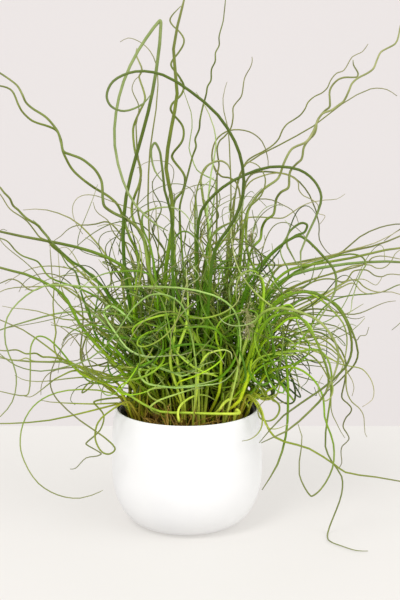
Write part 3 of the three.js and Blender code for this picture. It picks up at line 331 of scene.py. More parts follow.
class Bundle:
    """Several tubes and small bodies that become one piece."""

    def __init__(self):
        self.corners, self.faces, self.size = [], [], 0
        self.values = {"along": [], "run": [], "tint": []}
        self.around = []

    def add(self, corners, faces, around, **values):
        self.corners.append(corners)
        self.faces += [[self.size + i for i in face] for face in faces]
        self.around += around
        self.size += len(corners)
        for key, value in values.items():
            self.values[key].append(np.broadcast_to(np.asarray(value, float), len(corners)))

    def make(self, name, material, slot, *nodes):
        mesh = bpy.data.meshes.new(name)
        mesh.from_pydata((np.concatenate(self.corners) * MM).tolist(), [], self.faces)
        for key, values in self.values.items():
            layer = mesh.attributes.new(key, "FLOAT", "POINT")
            layer.data.foreach_set("value", np.concatenate(values))
        layer = mesh.attributes.new("around", "FLOAT", "CORNER")
        layer.data.foreach_set("value", self.around)
        mesh.shade_smooth()
        return add_piece(name, mesh, material, slot, *nodes)


def add_piece(name, mesh, material, slot, *nodes):
    mesh.materials.append(material)
    piece = add_object(name, mesh)
    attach(piece, "root")
    if nodes:
        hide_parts(*nodes)
    return piece


def random_spot(source, reach, first=0, last=2 * math.pi):
    """A random point within reach of the pot's axis, in a direction between two angles."""
    angle, out = source.uniform(first, last), reach * source.uniform(0, 1) ** 0.5
    return np.array([out * math.cos(angle), out * math.sin(angle)])


def unit(vectors):
    return vectors / np.maximum(np.linalg.norm(vectors, axis=-1, keepdims=True), 1e-9)


def between(first, second, start, end, t):
    """What lies between two points, or two rows of points, at moments from a start to an end."""
    return (end - t) / (end - start) * first + (t - start) / (end - start) * second


def smooth_course(points, radii):
    """A finer course through all the points, and its radii. Each arc blends the four points round it."""
    points = np.asarray(points, float)
    keep = np.concatenate([[True], np.linalg.norm(np.diff(points, axis=0), axis=1) > SAME_PLACE])
    points, radii = points[keep], np.asarray(radii, float)[keep]
    padded = np.vstack([2 * points[0] - points[1], points, 2 * points[-1] - points[-2]])
    course, widths = [], []
    for i in range(len(points) - 1):
        p0, p1, p2, p3 = padded[i : i + 4]
        t1 = np.linalg.norm(p1 - p0) ** 0.5
        t2 = t1 + np.linalg.norm(p2 - p1) ** 0.5
        t3 = t2 + np.linalg.norm(p3 - p2) ** 0.5
        turn = math.acos(float(np.clip(np.dot(unit(p1 - p0), unit(p2 - p1)), -1, 1)))
        turn += math.acos(float(np.clip(np.dot(unit(p2 - p1), unit(p3 - p2)), -1, 1)))
        count = max(1, math.ceil(np.linalg.norm(p2 - p1) / LONGEST_STEP), math.ceil(turn / 2 / LARGEST_TURN))
        t = np.linspace(t1, t2, count, endpoint=False)[:, None]
        early = between(p0, p1, 0, t1, t)
        middle = between(p1, p2, t1, t2, t)
        late = between(p2, p3, t2, t3, t)
        first, second = between(early, middle, 0, t2, t), between(middle, late, t1, t3, t)
        course.append(between(first, second, t1, t2, t))
        share = np.arange(count) / count
        widths.append(radii[i] * (1 - share) + radii[i + 1] * share)
    return np.vstack(course + [points[-1:]]), np.concatenate(widths + [radii[-1:]])


def add_tube(bundle, course, radii, sides, tint, ends=(0.0, 1.0)):
    """A closed round tube along a course. Its "along" attribute runs from ends[0] to ends[1]."""
    course, radii = np.asarray(course, float), np.asarray(radii, float)
    ahead = unit(np.gradient(course, axis=0))
    side = unit(np.cross(ahead[0], (0.3, 1, 0.2)))
    angles = 2 * np.pi * np.arange(sides) / sides
    rings = np.empty((len(course), sides, 3))
    for k in range(len(course)):
        side = side - side.dot(ahead[k]) * ahead[k]
        side = side / max(math.sqrt(side.dot(side)), 1e-9)
        other = np.cross(ahead[k], side)
        rings[k] = course[k] + radii[k] * (np.outer(np.cos(angles), side) + np.outer(np.sin(angles), other))
    lengths = lengths_along(course)
    along = ends[0] + (ends[1] - ends[0]) * lengths / max(lengths[-1], 1e-9)
    faces, around = [], []
    for k in range(len(course) - 1):
        for i in range(sides):
            j = (i + 1) % sides
            faces.append([k * sides + i, k * sides + j, (k + 1) * sides + j, (k + 1) * sides + i])
            around += [i / sides, (i + 1) / sides, (i + 1) / sides, i / sides]
    last = (len(course) - 1) * sides
    faces.append(list(range(sides))[::-1])
    faces.append([last + i for i in range(sides)])
    around += [0.0] * (2 * sides)
    bundle.add(
        rings.reshape(-1, 3),
        faces,
        around,
        along=np.repeat(along, sides),
        run=np.repeat(lengths * MM, sides),
        tint=np.repeat(np.broadcast_to(tint, len(course)), sides),
    )


def add_stem(bundle, course, radii, sides, tint, ends=(0.0, 1.0)):
    """A tube in a stem's tint, with painted shade: the tint is darker inside the thicket, where little light
    comes. It lies on the table where it would dip into it."""
    course = np.column_stack([course[:, :2], np.maximum(course[:, 2], radii)])
    # Painted shade: stems near the thicket's middle get a darker tint
    out = np.linalg.norm((course - PAINTED_SHADE_MIDDLE) / PAINTED_SHADE_HALF, axis=1)
    painted_shade = PAINTED_SHADE_BRIGHTNESS + (1 - PAINTED_SHADE_BRIGHTNESS) * np.clip(out, 0, 1) ** 3
    add_tube(bundle, course, radii, sides, tint * painted_shade, ends=ends)


def add_blob(bundle, centre, axis, half_length, half_width, tint):
    """A small pointed body, such as a spikelet or a crumb: rings of corners between two tips."""
    axis = unit(np.asarray(axis, float))
    side = unit(np.cross(axis, (0.2, 0.5, 1)))
    other = np.cross(axis, side)
    corners = [centre - half_length * axis]
    for height, width in BLOB_RINGS:
        for i in range(BLOB_SIDES):
            angle = 2 * np.pi * i / BLOB_SIDES
            spoke = math.cos(angle) * side + math.sin(angle) * other
            corners.append(centre + height * half_length * axis + width * half_width * spoke)
    corners.append(centre + half_length * axis)
    faces = []
    for i in range(BLOB_SIDES):
        here, there = 1 + i, 1 + (i + 1) % BLOB_SIDES
        faces.append([0, there, here])
        faces.append([here, there, BLOB_SIDES + there, BLOB_SIDES + here])
        faces.append([BLOB_SIDES + here, BLOB_SIDES + there, len(corners) - 1])
    bundle.add(np.array(corners), faces, [0.0] * sum(map(len, faces)), along=1.0, run=0.3, tint=tint)


def add_free_stem(bundle, points, radius, sides, tint):
    """A stem without a solid. It is slimmer where it leaves the soil, and drawn out to a fine tip."""
    course, _ = smooth_course(points, np.ones(len(points)))
    lengths = lengths_along(course)
    share = lengths / lengths[-1]
    widths = TIP_RADIUS + (radius - TIP_RADIUS) * (1 - share**EVENNESS) ** TIP_BLUNTNESS
    widths = widths * (FOOT_SLIMNESS + (1 - FOOT_SLIMNESS) * np.minimum(1, lengths / FOOT_LENGTH))
    add_stem(bundle, course, widths, sides, tint)


def lengths_along(points):
    return np.concatenate([[0], np.cumsum(np.linalg.norm(np.diff(points, axis=0), axis=1))])


# The solids' own stems. Most are a little slimmer than their solids, and some are much slimmer or drier: how
# wide a stem is beside its solid, and where its foot and its tip are on the way from green to dry.
EVEN_LOOK = (0.96, 0, 1)
STEM_LOOKS = {
    "tall_fold": (0.98, -0.24, 1.76),
    "tallest": (1, 0, 1),
    "big_loop": (0.88, 0, 1),
    "across_mouth": (0.74, 0, 1),
    "left_great_sweep": (0.52, 0.78, 1),
    "left_circle": (0.56, 0.4, 1),
    "left_front_arch": (0.58, 0.3, 1),
    "left_sagging": (0.75, 0.3, 1),
    "left_hook": (0.75, 0.6, 1),
    "left_hanging_loop": (0.7, 0.7, 1),
    "left_folded_tip": (0.8, 0.6, 1),
    "left_rising": (0.8, 0.5, 1),
    "wavy_right": (0.92, 0.3, 1.3),
    "wavy_right_long": (0.88, 0.3, 1.4),
    "right_great_arch": (0.8, 0, 1),
    "right_trailing": (0.85, 0.5, 1),
    "right_u_fold": (0.85, 0.5, 1),
    "right_bright_arch": (0.85, 0.82, 0.92),
}
SOLID_SIDES = 7
SOLID_TINTS = (0.25, 0.48)

# How a solid's courses are found: its foot's height and the room round it, the longest edge of the rings that
# close its tips, its widest ring, and how near its foot a tip and the end of a course are
FOOT_HEIGHT = SOIL_TOP + 1
FOOT_ROOM = 2.5
TIP_EDGE = 0.85
WIDEST_RING = 8
CLOSE_TO_FOOT = 12
END_OF_COURSE = 60


def welded(mesh):
    """A mesh's corners in millimetres, with equal ones merged, and the corners that edges join each to."""
    raw = np.array([v.co[:] for v in mesh.vertices]) / MM
    spots, number = np.unique(np.round(raw, 3), axis=0, return_inverse=True)
    number = number.ravel()
    joined = [set() for _ in spots]
    for edge in mesh.edges:
        a, b = (int(number[i]) for i in edge.vertices)
        if a != b:
            joined[a].add(b)
            joined[b].add(a)
    return spots, joined


def tip_rings(spots, joined, foot):
    """The small rings of corners that close a solid's tips."""
    seen, rings = set(), []
    for first in range(len(spots)):
        ring, todo = {first}, [first]
        while todo:
            i = todo.pop()
            near = {j for j in joined[i] if np.linalg.norm(spots[j] - spots[i]) < TIP_EDGE} - ring
            ring |= near
            todo += near
        far_from_foot = np.linalg.norm(spots[first] - foot) > CLOSE_TO_FOOT
        if first not in seen and len(ring) in (3, 4) and far_from_foot:
            rings.append(ring)
        seen |= ring
    return rings


def courses_of_solid(node):
    """The ring centres and radii of a stem's solid and of a shoot joined to it, from the foot to each tip."""
    spots, joined = welded(frame["nodes"][node].data)
    out = np.hypot(spots[:, 0], spots[:, 1])
    low = abs(spots[:, 2] - FOOT_HEIGHT) < FOOT_ROOM
    foot = spots[low & (out < SOIL_RADIUS - 1)].mean(axis=0)
    courses = []
    for ring in tip_rings(spots, joined, foot):
        sides, seen, centres, radii = len(ring), set(ring), [], []
        while len(ring) == sides:
            around = spots[sorted(ring)]
            if np.ptp(around, axis=0).max() > WIDEST_RING:
                break
            centres.append(around.mean(axis=0))
            radii.append(np.linalg.norm(around - centres[-1], axis=1).mean())
            ring = {j for i in ring for j in joined[i]} - seen
            seen |= ring
        if len(centres) > 2 and np.linalg.norm(centres[-1] - foot) < END_OF_COURSE:
            below = foot - (0, 0, ROOT_DEPTH)
            course = np.array([below, foot] + centres[::-1])
            courses.append((course, np.array(radii[-1:] * 2 + radii[::-1])))
    return sorted(courses, key=lambda course: -len(course[0]))


def tone_of(node):
    rows = frame["record"]["subparts"]
    return next(row["material_slot"] for row in rows if row["node"] == node).removeprefix("stem_")


def stem_names():
    return sorted(name for name in frame["nodes"] if name.startswith("stem_"))


rng = np.random.default_rng(31)
solid_feet = {}
bundles = {}


def add_solid_stems():
    for node in stem_names():
        bundles[node] = Bundle()
        slimness, foot_dryness, tip_dryness = STEM_LOOKS.get(node.removeprefix("stem_"), EVEN_LOOK)
        for centres, radii in courses_of_solid(node):
            solid_feet[node] = centres[0]
            course, widths = smooth_course(centres, radii * slimness)
            tint = rng.uniform(*SOLID_TINTS)
            add_stem(bundles[node], course, widths, SOLID_SIDES, tint, ends=(foot_dryness, tip_dryness))


# Stems that are drawn on the sheet and have no solid of their own. Each is a paragraph: the stem that
# it grows beside, its tone and radius, how near its foot and tip are, and its course from foot to tip.
DRAWN_STEMS = """
big_loop green 1.3 26 70 207,330 209,280 210,245 215,231 222,226 233,221 238,215

wavy_left_of_centre dusky 1.1 -12 -90 150,330 148,270 141,225 137,205 141,180 137,150 136,125 139,110
138,103 134,95 132,88 135,80 139,76 142,66

crinkled_short dusky 0.9 -20 -100 222,330 228,260 231,200 230,160 228,128 224,112 223,98 225,88 227,82

yellow_green green 1.1 20 60 200,330 196,270 195,230 196,195 200,180 207,167 214,162 222,161 228,165 230,169

crinkled_tall dark 1.2 10 30 198,320 197,260 197,212 196,200 197,191 202,187 208,182 214,177

hook_centre dark 1.3 30 90 160,340 156,280 150,245 144,232 142,222 143,215 150,210 158,208 168,207 178,209
186,215 192,224 196,234

low_arch_right dusky 0.9 -30 -90 225,330 228,270 235,235 245,219 260,217 275,218 283,218 290,214 300,207
312,202 325,200 337,199 345,194

small_loop_right dusky 0.9 -10 -60 222,330 236,270 246,215 252,202 260,199 272,200 283,205 292,210 297,218
299,225

left_thick dusky 1.0 0 -70 138,330 128,290 115,268 106,255 101,248 95,241 88,233 80,225 70,218 58,213 47,210
35,209 23,210

wavy_left dusky 1.0 -20 -100 142,330 136,280 124,240 108,222 96,224 88,225 80,225 72,227 66,231 61,236
55,240 49,246

wavy_left dusky 0.9 6 40 148,330 144,280 136,255 129,244 122,241 117,237 112,230 109,222 105,218 99,214
95,209 93,202

left_wavy_low dusky 0.9 10 50 130,360 105,335 84,318 66,302 55,288 52,275 51,262 50,250

left_low_wave dusky 0.9 -10 -70 134,355 112,338 90,323 76,312 66,298 62,290 60,280 59,265 58,252

left_wavy_middle dusky 0.9 0 -50 136,340 120,318 105,300 92,283 80,266 75,257 70,250 65,247 58,249

left_wavy_high dusky 0.9 -20 -110 134,350 116,328 100,311 88,298 80,287 77,280 75,272 70,269 63,266

left_hook dusky 1.0 30 100 122,398 110,390 96,379 80,371 72,371 65,374 55,379 45,387 36,394 30,397 24,396

left_thin_level dusky 0.8 34 10 128,406 117,403 95,404 65,403 50,402 40,400

right_level dusky 1.0 -10 40 244,350 262,312 290,288 320,277 345,270 360,266 368,262 372,258 380,256 390,257
400,259 412,260

right_high dusky 1.0 -20 -60 246,350 266,312 296,286 330,274 352,266 370,265 376,268 383,268 388,265 392,260
395,254 400,250 408,246

right_wavy_low dusky 0.9 -10 -40 252,350 276,318 310,300 335,288 348,281 360,279 366,280 371,283 376,285
380,281 382,277

right_wavy_low dusky 1.0 -20 -80 250,350 276,322 310,304 338,286 350,280 358,281 363,286 370,290 378,292
392,292 402,295 412,299

right_bright dusky 1.0 0 50 252,350 280,322 315,304 340,288 352,283 356,285 360,290 368,294 378,293 386,290

right_pointed_arch dark 1.1 10 60 246,350 262,305 295,272 330,258 350,254 362,257 366,264 362,271 358,280
355,290 352,300 351,310 346,320

right_outer_arch dusky 0.9 0 -40 254,355 280,338 310,324 335,326 350,335 357,340 360,336 366,335 368,330
369,327

right_great_arch dusky 0.8 20 60 254,360 284,346 320,353 340,364 349,366 355,367 362,369 368,375 372,382
374,391 372,400 362,407

right_trailing green 1.1 24 40 250,400 262,394 276,386 287,377 291,370 297,364 303,361 311,360 320,362
327,364

right_wavy_drop dusky 0.9 -4 20 256,360 290,342 320,338 340,355 346,372 346,385 348,395 352,402 358,407
362,412 364,418 365,433 367,437

right_inner_arch dusky 0.9 20 70 252,365 285,350 312,356 328,378 331,395 331,408 333,416 337,424 341,432
345,438

right_bright_arch green 1.1 20 80 248,365 262,342 279,326 288,319 297,318 304,320 311,328 317,343 323,357
328,372 333,388 331,397 325,401 320,396 318,388 320,380 323,375

right_outer_arch dusky 0.9 10 0 258,360 290,344 325,346 342,360 348,373 352,380 354,388 352,396

rim_hook dusky 0.9 30 64 226,404 238,398 248,397 254,401 259,408 262,416 262,425 259,432 254,437 248,440
242,441

rim_hook dusky 0.9 34 70 240,400 250,396 258,403 263,414 265,423 269,428 275,429 282,427 288,424

rim_hook dusky 0.8 26 60 242,396 252,392 262,398 270,397 276,394 281,393 286,395

rim_hook dusky 0.8 20 50 242,398 254,394 264,395 270,398 273,401 280,403 287,402

right_low_level lime 1.5 26 46 216,409 227,395 239,382 246,372 249,370 255,379 261,389 265,397

right_drooping dusky 1.0 0 30 244,375 252,355 261,351 266,360 267,375 268,388 266,399

right_drooping dusky 1.1 20 60 250,392 258,386 264,390 268,397 274,400 279,405 279,412 274,419 267,421
260,418 258,411 261,404 267,399

left_sagging lime 1.5 52 40 179,421 178,412 181,405 188,399 198,395 208,396 216,401

across_mouth lime 1.9 42 17 221,408 224,403 230,399 237,398 244,401 248,406 249,412 247,417

high_arch_right dusky 0.9 -40 -90 226,330 232,250 240,200 250,182 262,176 276,173 290,176 298,182 299,190
304,196 311,199 318,205 318,213 325,216 320,224

left_sagging pale 1.1 24 66 160,400 150,386 146,374 154,367 170,371 182,376 195,370 205,364 215,361

left_sagging pale 1.1 30 60 164,404 152,398 148,391 156,388 170,387 190,386 205,383 218,379

left_front_arch pale 1.1 50 62 150,408 156,402 165,398 180,393 193,389 204,388

right_bright_arch lime 1.4 30 52 220,407 231,390 241,372 249,355 252,340 253,326

yellow_green lime 1.5 44 72 196,400 198,376 202,362 208,354 216,351 225,350 231,353 232,359

yellow_green lime 1.5 44 60 181,400 172,372 170,355 174,340 175,325 174,312 174,298 172,285

yellow_green lime 1.6 40 58 184,402 179,372 177,352 181,340 186,327 188,315 188,301 187,282 186,268

big_loop green 1.5 44 62 219,392 221,372 221,355 217,342 216,330 222,320 234,314 244,312

left_sagging pale 1.1 10 76 168,396 150,352 128,318 110,306 104,312 108,322 117,335 126,347 137,354 152,357
166,356 181,355 192,352

left_sagging pale 1.1 20 66 176,396 166,360 152,338 142,338 141,348 146,358 152,364 162,369 175,373 185,372
195,369 206,359 212,350

left_front_arch pale 1.0 30 64 170,398 158,376 146,366 139,370 142,379 149,384 160,386 175,388 190,387
206,385 220,383 230,376 238,366

left_wavy_middle green 1.7 20 40 150,390 142,360 135,330 134,312 134,296 137,276 140,258 139,244

left_diagonal dark 1.7 30 54 156,396 138,374 118,352 108,343 112,338 128,338 144,341 158,347 170,356

right_level dusky 1.1 -20 -60 222,330 228,290 246,266 265,265 282,265 302,264 317,260 333,255 350,250
375,243 400,230

right_knot dark 1.2 10 20 250,350 276,320 283,300 279,288 273,276 267,262 256,249 246,243 235,239

yellow_green green 1.6 40 50 240,400 250,365 254,345 257,329 262,313 263,302 264,290 262,279 256,272 248,271
241,275 237,283 236,294 237,306

right_inner_arch green 1.2 30 36 250,360 262,330 280,308 290,305 295,312 297,322 302,333 308,341 317,347
325,349

right_inner_arch dusky 1.0 20 10 250,355 262,335 278,330 296,332 311,333 320,336 331,338 334,333

right_drooping green 1.2 36 44 252,372 262,345 270,338 280,337 289,340 295,346 295,351 290,354 283,353

right_low_level lime 0.9 40 50 244,375 256,360 266,355 276,354 291,355 302,353 314,348

right_outer_arch dusky 0.9 0 -10 250,350 270,310 295,298 310,300 313,309 313,319 311,328 310,333 314,338
320,348 325,358

right_great_arch green 1.0 10 50 248,355 262,318 282,296 300,291 317,297 333,311 343,323 347,337 346,352
343,366 336,380 326,390

right_drooping dark 1.5 34 38 252,392 262,380 268,372 272,362 273,350 272,336 270,322 264,312

right_drooping dark 1.2 40 46 246,385 255,372 266,364 277,361 287,357 291,350 289,343

rim_hook dusky 0.8 28 40 252,395 264,400 276,396 279,388 283,380 292,378 298,382 302,391

left_wavy_low dusky 0.9 20 0 130,385 100,372 75,366 60,360 54,346 56,332 54,318 53,304 54,288 52,275 51,260
50,246

left_thick dusky 0.7 -20 -60 140,345 120,310 100,285 80,272 62,267 48,266 33,268 20,274 5,284

left_wavy_middle dark 1.2 20 10 132,362 112,352 98,340 92,322 89,311 84,302 81,292 79,282 75,271 68,266
62,256 56,248 50,240

left_wavy_middle dark 1.2 20 60 150,350 135,325 118,307 109,297 102,286 96,279 84,269 72,261 62,252 54,244
46,236 40,226 33,220

left_small_hook dark 1.1 30 50 165,330 158,290 148,274 138,271 126,271 112,272 98,276 88,282 80,290 74,300

left_diagonal green 1.2 40 60 140,350 122,336 104,327 90,325 78,328 68,334 63,340

left_diagonal dusky 0.8 0 -30 138,350 118,326 98,317 89,319 78,320 62,319 47,314 37,311 24,309 12,308 2,306

left_level_wave dusky 0.9 10 20 130,385 105,374 80,366 58,361 47,362 33,361 26,358 20,360 11,360 0,358
-8,357

left_rising dusky 1.0 20 30 140,378 124,370 111,366 100,366 91,361 84,360 79,365

left_rising dark 1.3 36 56 138,382 126,374 116,377 107,382 96,383 87,380 80,372 76,364

wavy_left_of_centre dusky 0.8 -40 -70 168,320 164,290 162,264 158,252 159,241 158,230 156,219 156,208
153,199 153,190 152,181

hook_centre green 1.3 20 40 160,340 155,300 150,270 148,250 143,234 135,224 128,219 120,214

hook_centre dark 1.2 40 60 190,330 176,290 172,258 174,240 181,232 188,232 196,239 202,250 209,266 212,280

sine_centre pale 1.1 0 -30 205,330 208,280 210,245 210,230 207,214 208,200 211,174 216,146 214,128 209,114
203,102 196,92

sine_centre pale 0.8 -30 -80 200,330 206,260 214,200 215,181 206,176 197,170 192,158 189,148 192,128 191,112
184,92 180,80

wavy_left_of_centre dusky 0.9 -20 -60 150,330 150,250 148,200 150,150 156,110 158,85 156,64 150,51 140,42
128,38 120,42

ring_right_of_centre dark 1.1 20 40 190,345 200,300 212,270 226,268 240,267 255,270 270,278 280,290

ring_right_of_centre green 1.0 0 -10 196,340 204,290 213,262 226,261 241,261 258,256 270,250

big_loop dusky 1.3 20 30 200,335 202,285 207,252 216,242 226,240 237,239 248,244 258,254 263,266

crinkled_short green 1.3 -10 -40 196,350 202,300 208,268 217,249 226,237 237,221 246,208 254,196 262,188

ring_right_of_centre dark 1.0 30 40 196,345 203,300 211,276 219,266 229,260 240,254 254,253 266,258 274,268

big_loop dark 1.5 24 30 204,335 206,290 207,248 212,236 222,227 236,219 243,205 244,190
"""


# The room that a drawn stem keeps from the pot, and how far under the rim it is lifted over it
POT_ROOM = 1.5
INNER_ROOM = 4.5
OVER_RIM = 12

# Where a drawn stem stands, and where its second point is if there is room for one
DRAWN_FOOT_RADIUS = 31
FOOT_AIM = 0.9
FOOT_SCATTER = 1.5
START_ROOM = 14
START_LEAN = 1.02
START_RISE = 8
DRAWN_THICKNESS = 1.18
DRAWN_SIDES = 6
DRAWN_TINTS = (0.3, 0.85)


def clear_of_pot(points):
    """Moves points that are in the pot's wall or under the table out of it, apart from the first two."""
    points = points.copy()
    for k, (x, y, z) in enumerate(points):
        if k < 2:
            continue
        points[k][2] = max(z, POT_ROOM)
        out = math.hypot(x, y)
        if z >= POT_HEIGHT + POT_ROOM or out < 1:
            continue
        inner = LINER_LIP - INNER_ROOM
        outer = pot_radius(max(z, 0)) + POT_ROOM
        if inner < out < outer:
            if z > POT_HEIGHT - OVER_RIM:
                points[k][2] = POT_HEIGHT + POT_ROOM
            else:
                points[k][:2] *= (inner if out < (inner + outer) / 2 else outer) / out
    return points


def pot_radius(height):
    """The cover pot's outside radius at a height."""
    below = 1 - height / POT_BELLY_HEIGHT
    if below > 0:
        return POT_BASE + (POT_BELLY - POT_BASE) * math.sqrt(1 - below * below)
    above = min(1, (height - POT_BELLY_HEIGHT) / (POT_HEIGHT - POT_BELLY_HEIGHT))
    return POT_BELLY + (POT_MOUTH - POT_BELLY) * above**3.5


def bundle_of(node, tone):
    """The bundle of a tone that stands beside a solid stem."""
    if tone == tone_of(node):
        return bundles[node]
    return bundles.setdefault((node, tone), Bundle())


def add_drawn_stems():
    for paragraph in DRAWN_STEMS.split("\n\n"):
        name, tone, *numbers = paragraph.split()
        radius, near_foot, near_tip = map(float, numbers[:3])
        seen = np.array([pair.split(",") for pair in numbers[3:]], float)
        shares = lengths_along(seen) / lengths_along(seen)[-1]
        points = [place_in_space(p, near_foot + (near_tip - near_foot) * t) for p, t in zip(seen, shares)]
        aim = (points[0][0] * FOOT_AIM, points[0][1] * FOOT_AIM)
        out = math.hypot(*aim)
        foot = np.array(aim) * min(1, DRAWN_FOOT_RADIUS / max(out, 1)) + rng.normal(0, FOOT_SCATTER, 2)
        start = [(foot[0], foot[1], SOIL_TOP - ROOT_DEPTH)]
        if points[0][2] > SOIL_TOP + START_ROOM:
            start.append((foot[0] * START_LEAN, foot[1] * START_LEAN, SOIL_TOP + START_RISE))
        points = clear_of_pot(np.array(start + [tuple(p) for p in points]))
        bundle = bundle_of("stem_" + name, tone)
        add_free_stem(bundle, points, DRAWN_THICKNESS * radius, DRAWN_SIDES, rng.uniform(*DRAWN_TINTS))


# The thicket: stems that wind up between the drawn ones. A foot is shifted a little towards its stem's home,
# and a stem that the pot or the soil cuts too short is left out.
THICKET_MIDDLE = (9, 7)
THICKET_FOOT_RADIUS = 35
THICKET_SIDES = 5
FOOT_TO_HOME = 0.12
LEAN_SCATTER = 0.5
SHORTEST_SHARE = 0.8
BOX_ROOM = 3
WANDER_STEP = 4
HOME_PULL = 0.09
RIM_PULL = 0.06
RIM_ROOM = 12
RIM_HIT = 4
LINER_HIT = 6
FRONT_CLEAR = 35
FRONT_CLEAR_HEIGHT = 142

# Each kind has ranges that a stem's sizes are drawn from: how fast it leans out, the radius of its bends,
# the length over which their plane turns by one radian and the drooping of its tip. It bends fully after its
# rise, and it keeps to its home, an egg-shaped space with a middle and half-sizes.
THICKET = [
    dict(count=36, radius=(0.9, 1.4), length=(120, 240), lean=(-0.1, 1.1), fan=(1.1, 0.9), rise=26,
         bend=(26, 90), turn=(25, 80), droop=(0, 0.01), home=((10, 0, 186), (70, 58, 62)), tint=(0.2, 1),
         tones=dict(green=0.45, lime=0.35, dark=0.2)),
    dict(count=30, radius=(0.9, 1.4), length=(200, 360), lean=(-0.1, 1.2), fan=(1.2, 1), rise=30,
         bend=(18, 46), turn=(18, 60), droop=(0, 0.01), home=((6, 0, 228), (86, 58, 64)), tint=(0.1, 1),
         tones=dict(green=0.45, dark=0.3, lime=0.1, pale=0.15)),
    dict(count=40, radius=(0.8, 1.3), length=(240, 380), lean=(0.1, 1), fan=(1.4, 0.8), rise=70,
         bend=(20, 50), turn=(25, 80), droop=(0, 0.02), home=((10, 0, 252), (100, 68, 54)), tint=(0.05, 0.9),
         tones=dict(green=0.5, dark=0.4, dusky=0.1)),
    dict(count=60, radius=(0.9, 1.4), length=(210, 340), lean=(0.2, 1.2), fan=(1, 0.6), rise=40,
         bend=(16, 50), turn=(20, 70), droop=(0, 0.02), home=((122, 0, 204), (72, 55, 80)), tint=(0, 0.7),
         tones=dict(green=0.45, dark=0.45, dusky=0.1)),
    dict(count=54, radius=(0.8, 1.3), length=(200, 340), lean=(0.2, 1.2), fan=(1, 0.6), rise=60,
         bend=(20, 60), turn=(25, 80), droop=(0, 0.02), home=((-98, 0, 196), (78, 55, 66)), tint=(0, 0.7),
         tones=dict(green=0.45, dark=0.35, dusky=0.2)),
    dict(count=26, radius=(0.9, 1.4), length=(220, 340), lean=(0, 0.7), fan=(1, 1), rise=50,
         bend=(11, 16), turn=(9, 13), droop=(0, 0), home=((6, 4, 262), (82, 55, 120)), tint=(0.1, 1),
         tones=dict(dusky=0.3, green=0.4, dark=0.3)),
    dict(count=30, radius=(0.8, 1.3), length=(240, 340), lean=(-0.1, 0.7), fan=(1.2, 0.8), rise=140,
         bend=(15, 36), turn=(20, 70), droop=(0, 0.01), home=((14, 0, 268), (84, 58, 40)), tint=(0.05, 0.9),
         tones=dict(green=0.45, dark=0.3, dusky=0.25)),
    dict(count=66, radius=(0.5, 1), length=(200, 380), lean=(0.3, 1.8), fan=(1.4, 0.7), rise=90,
         bend=(20, 70), turn=(12, 60), droop=(0, 0.02), home=((0, 8, 205), (190, 80, 90)), tint=(0.1, 0.8),
         tones=dict(dusky=0.4, green=0.6)),
]


def wander(foot, heading, kind):
    """A stem's course from its foot: it rises, then bends in a plane that turns as it goes, like a corkscrew,
    and it is drawn back when it strays from its home or comes near the pot's rim."""
    length = rng.uniform(*kind["length"])
    bend = 1 / rng.uniform(*kind["bend"])
    turn = rng.choice((-1, 1)) * WANDER_STEP / rng.uniform(*kind["turn"])
    droop = rng.uniform(*kind["droop"])
    middle, half = (np.array(sizes, float) for sizes in kind["home"])
    side = unit(np.cross(heading, rng.normal(0, 1, 3)))
    points = [np.array([foot[0], foot[1], SOIL_TOP - ROOT_DEPTH])]
    for k in range(int(length / WANDER_STEP)):
        gone = k * WANDER_STEP
        side = math.cos(turn) * side + math.sin(turn) * np.cross(heading, side)
        pull = bend * min(1, gone / kind["rise"]) ** 2 * side - (0, 0, droop * (gone / length) ** 2)
        away = (points[-1] - middle) / half
        strayed = np.linalg.norm(away) - 1
        if strayed > 0 and gone > kind["rise"]:
            pull = pull - HOME_PULL * min(1, strayed) * unit(away)
        out = math.hypot(*points[-1][:2])
        if points[-1][2] < POT_HEIGHT + RIM_ROOM and out > LINER_LIP - 2 * RIM_ROOM:
            pull = pull + RIM_PULL * np.array([-points[-1][0] / out, -points[-1][1] / out, 1])
        heading = unit(heading + WANDER_STEP * pull)
        side = unit(side - side.dot(heading) * heading)
        point = points[-1] + WANDER_STEP * heading
        in_rim = point[2] < POT_HEIGHT + RIM_HIT and math.hypot(*point[:2]) > LINER_LIP - LINER_HIT
        in_soil = point[2] < SOIL_TOP + 1 and gone > 2 * WANDER_STEP
        if in_rim or in_soil:
            break
        points.append(point)
    return np.array(points)


def inside_box(points):
    low, high = (np.array(corner) / MM for corner in cad_box)
    return (points > low + BOX_ROOM).all() and (points < high - BOX_ROOM).all()


def hangs_in_front(points):
    """Whether a stem comes low in front of the pot, where only the drawn ones do."""
    gone = WANDER_STEP * np.arange(len(points))
    return ((gone > FRONT_CLEAR) & (points[:, 1] < -FRONT_CLEAR) & (points[:, 2] < FRONT_CLEAR_HEIGHT)).any()


def add_thicket(kind):
    names = stem_names()
    tones, shares = list(kind["tones"]), list(kind["tones"].values())
    made = 0
    while made < kind["count"]:
        place = random_spot(rng, THICKET_FOOT_RADIUS)
        foot = place + THICKET_MIDDLE + (FOOT_TO_HOME * kind["home"][0][0], 0)
        lean = place / THICKET_FOOT_RADIUS * kind["fan"] * rng.uniform(*kind["lean"])
        lean = lean + rng.normal(0, LEAN_SCATTER, 2)
        points = wander(foot, unit(np.array([lean[0], lean[1], 1])), kind)
        long_enough = len(points) * WANDER_STEP >= SHORTEST_SHARE * kind["length"][0]
        if not long_enough or not inside_box(points) or hangs_in_front(points):
            continue
        made += 1
        node = min(names, key=lambda name: np.linalg.norm(solid_feet[name][:2] - foot))
        radius = rng.uniform(*kind["radius"])
        bundle = bundle_of(node, str(rng.choice(tones, p=shares)))
        add_free_stem(bundle, points[::2], radius, THICKET_SIDES, rng.uniform(*kind["tint"]))


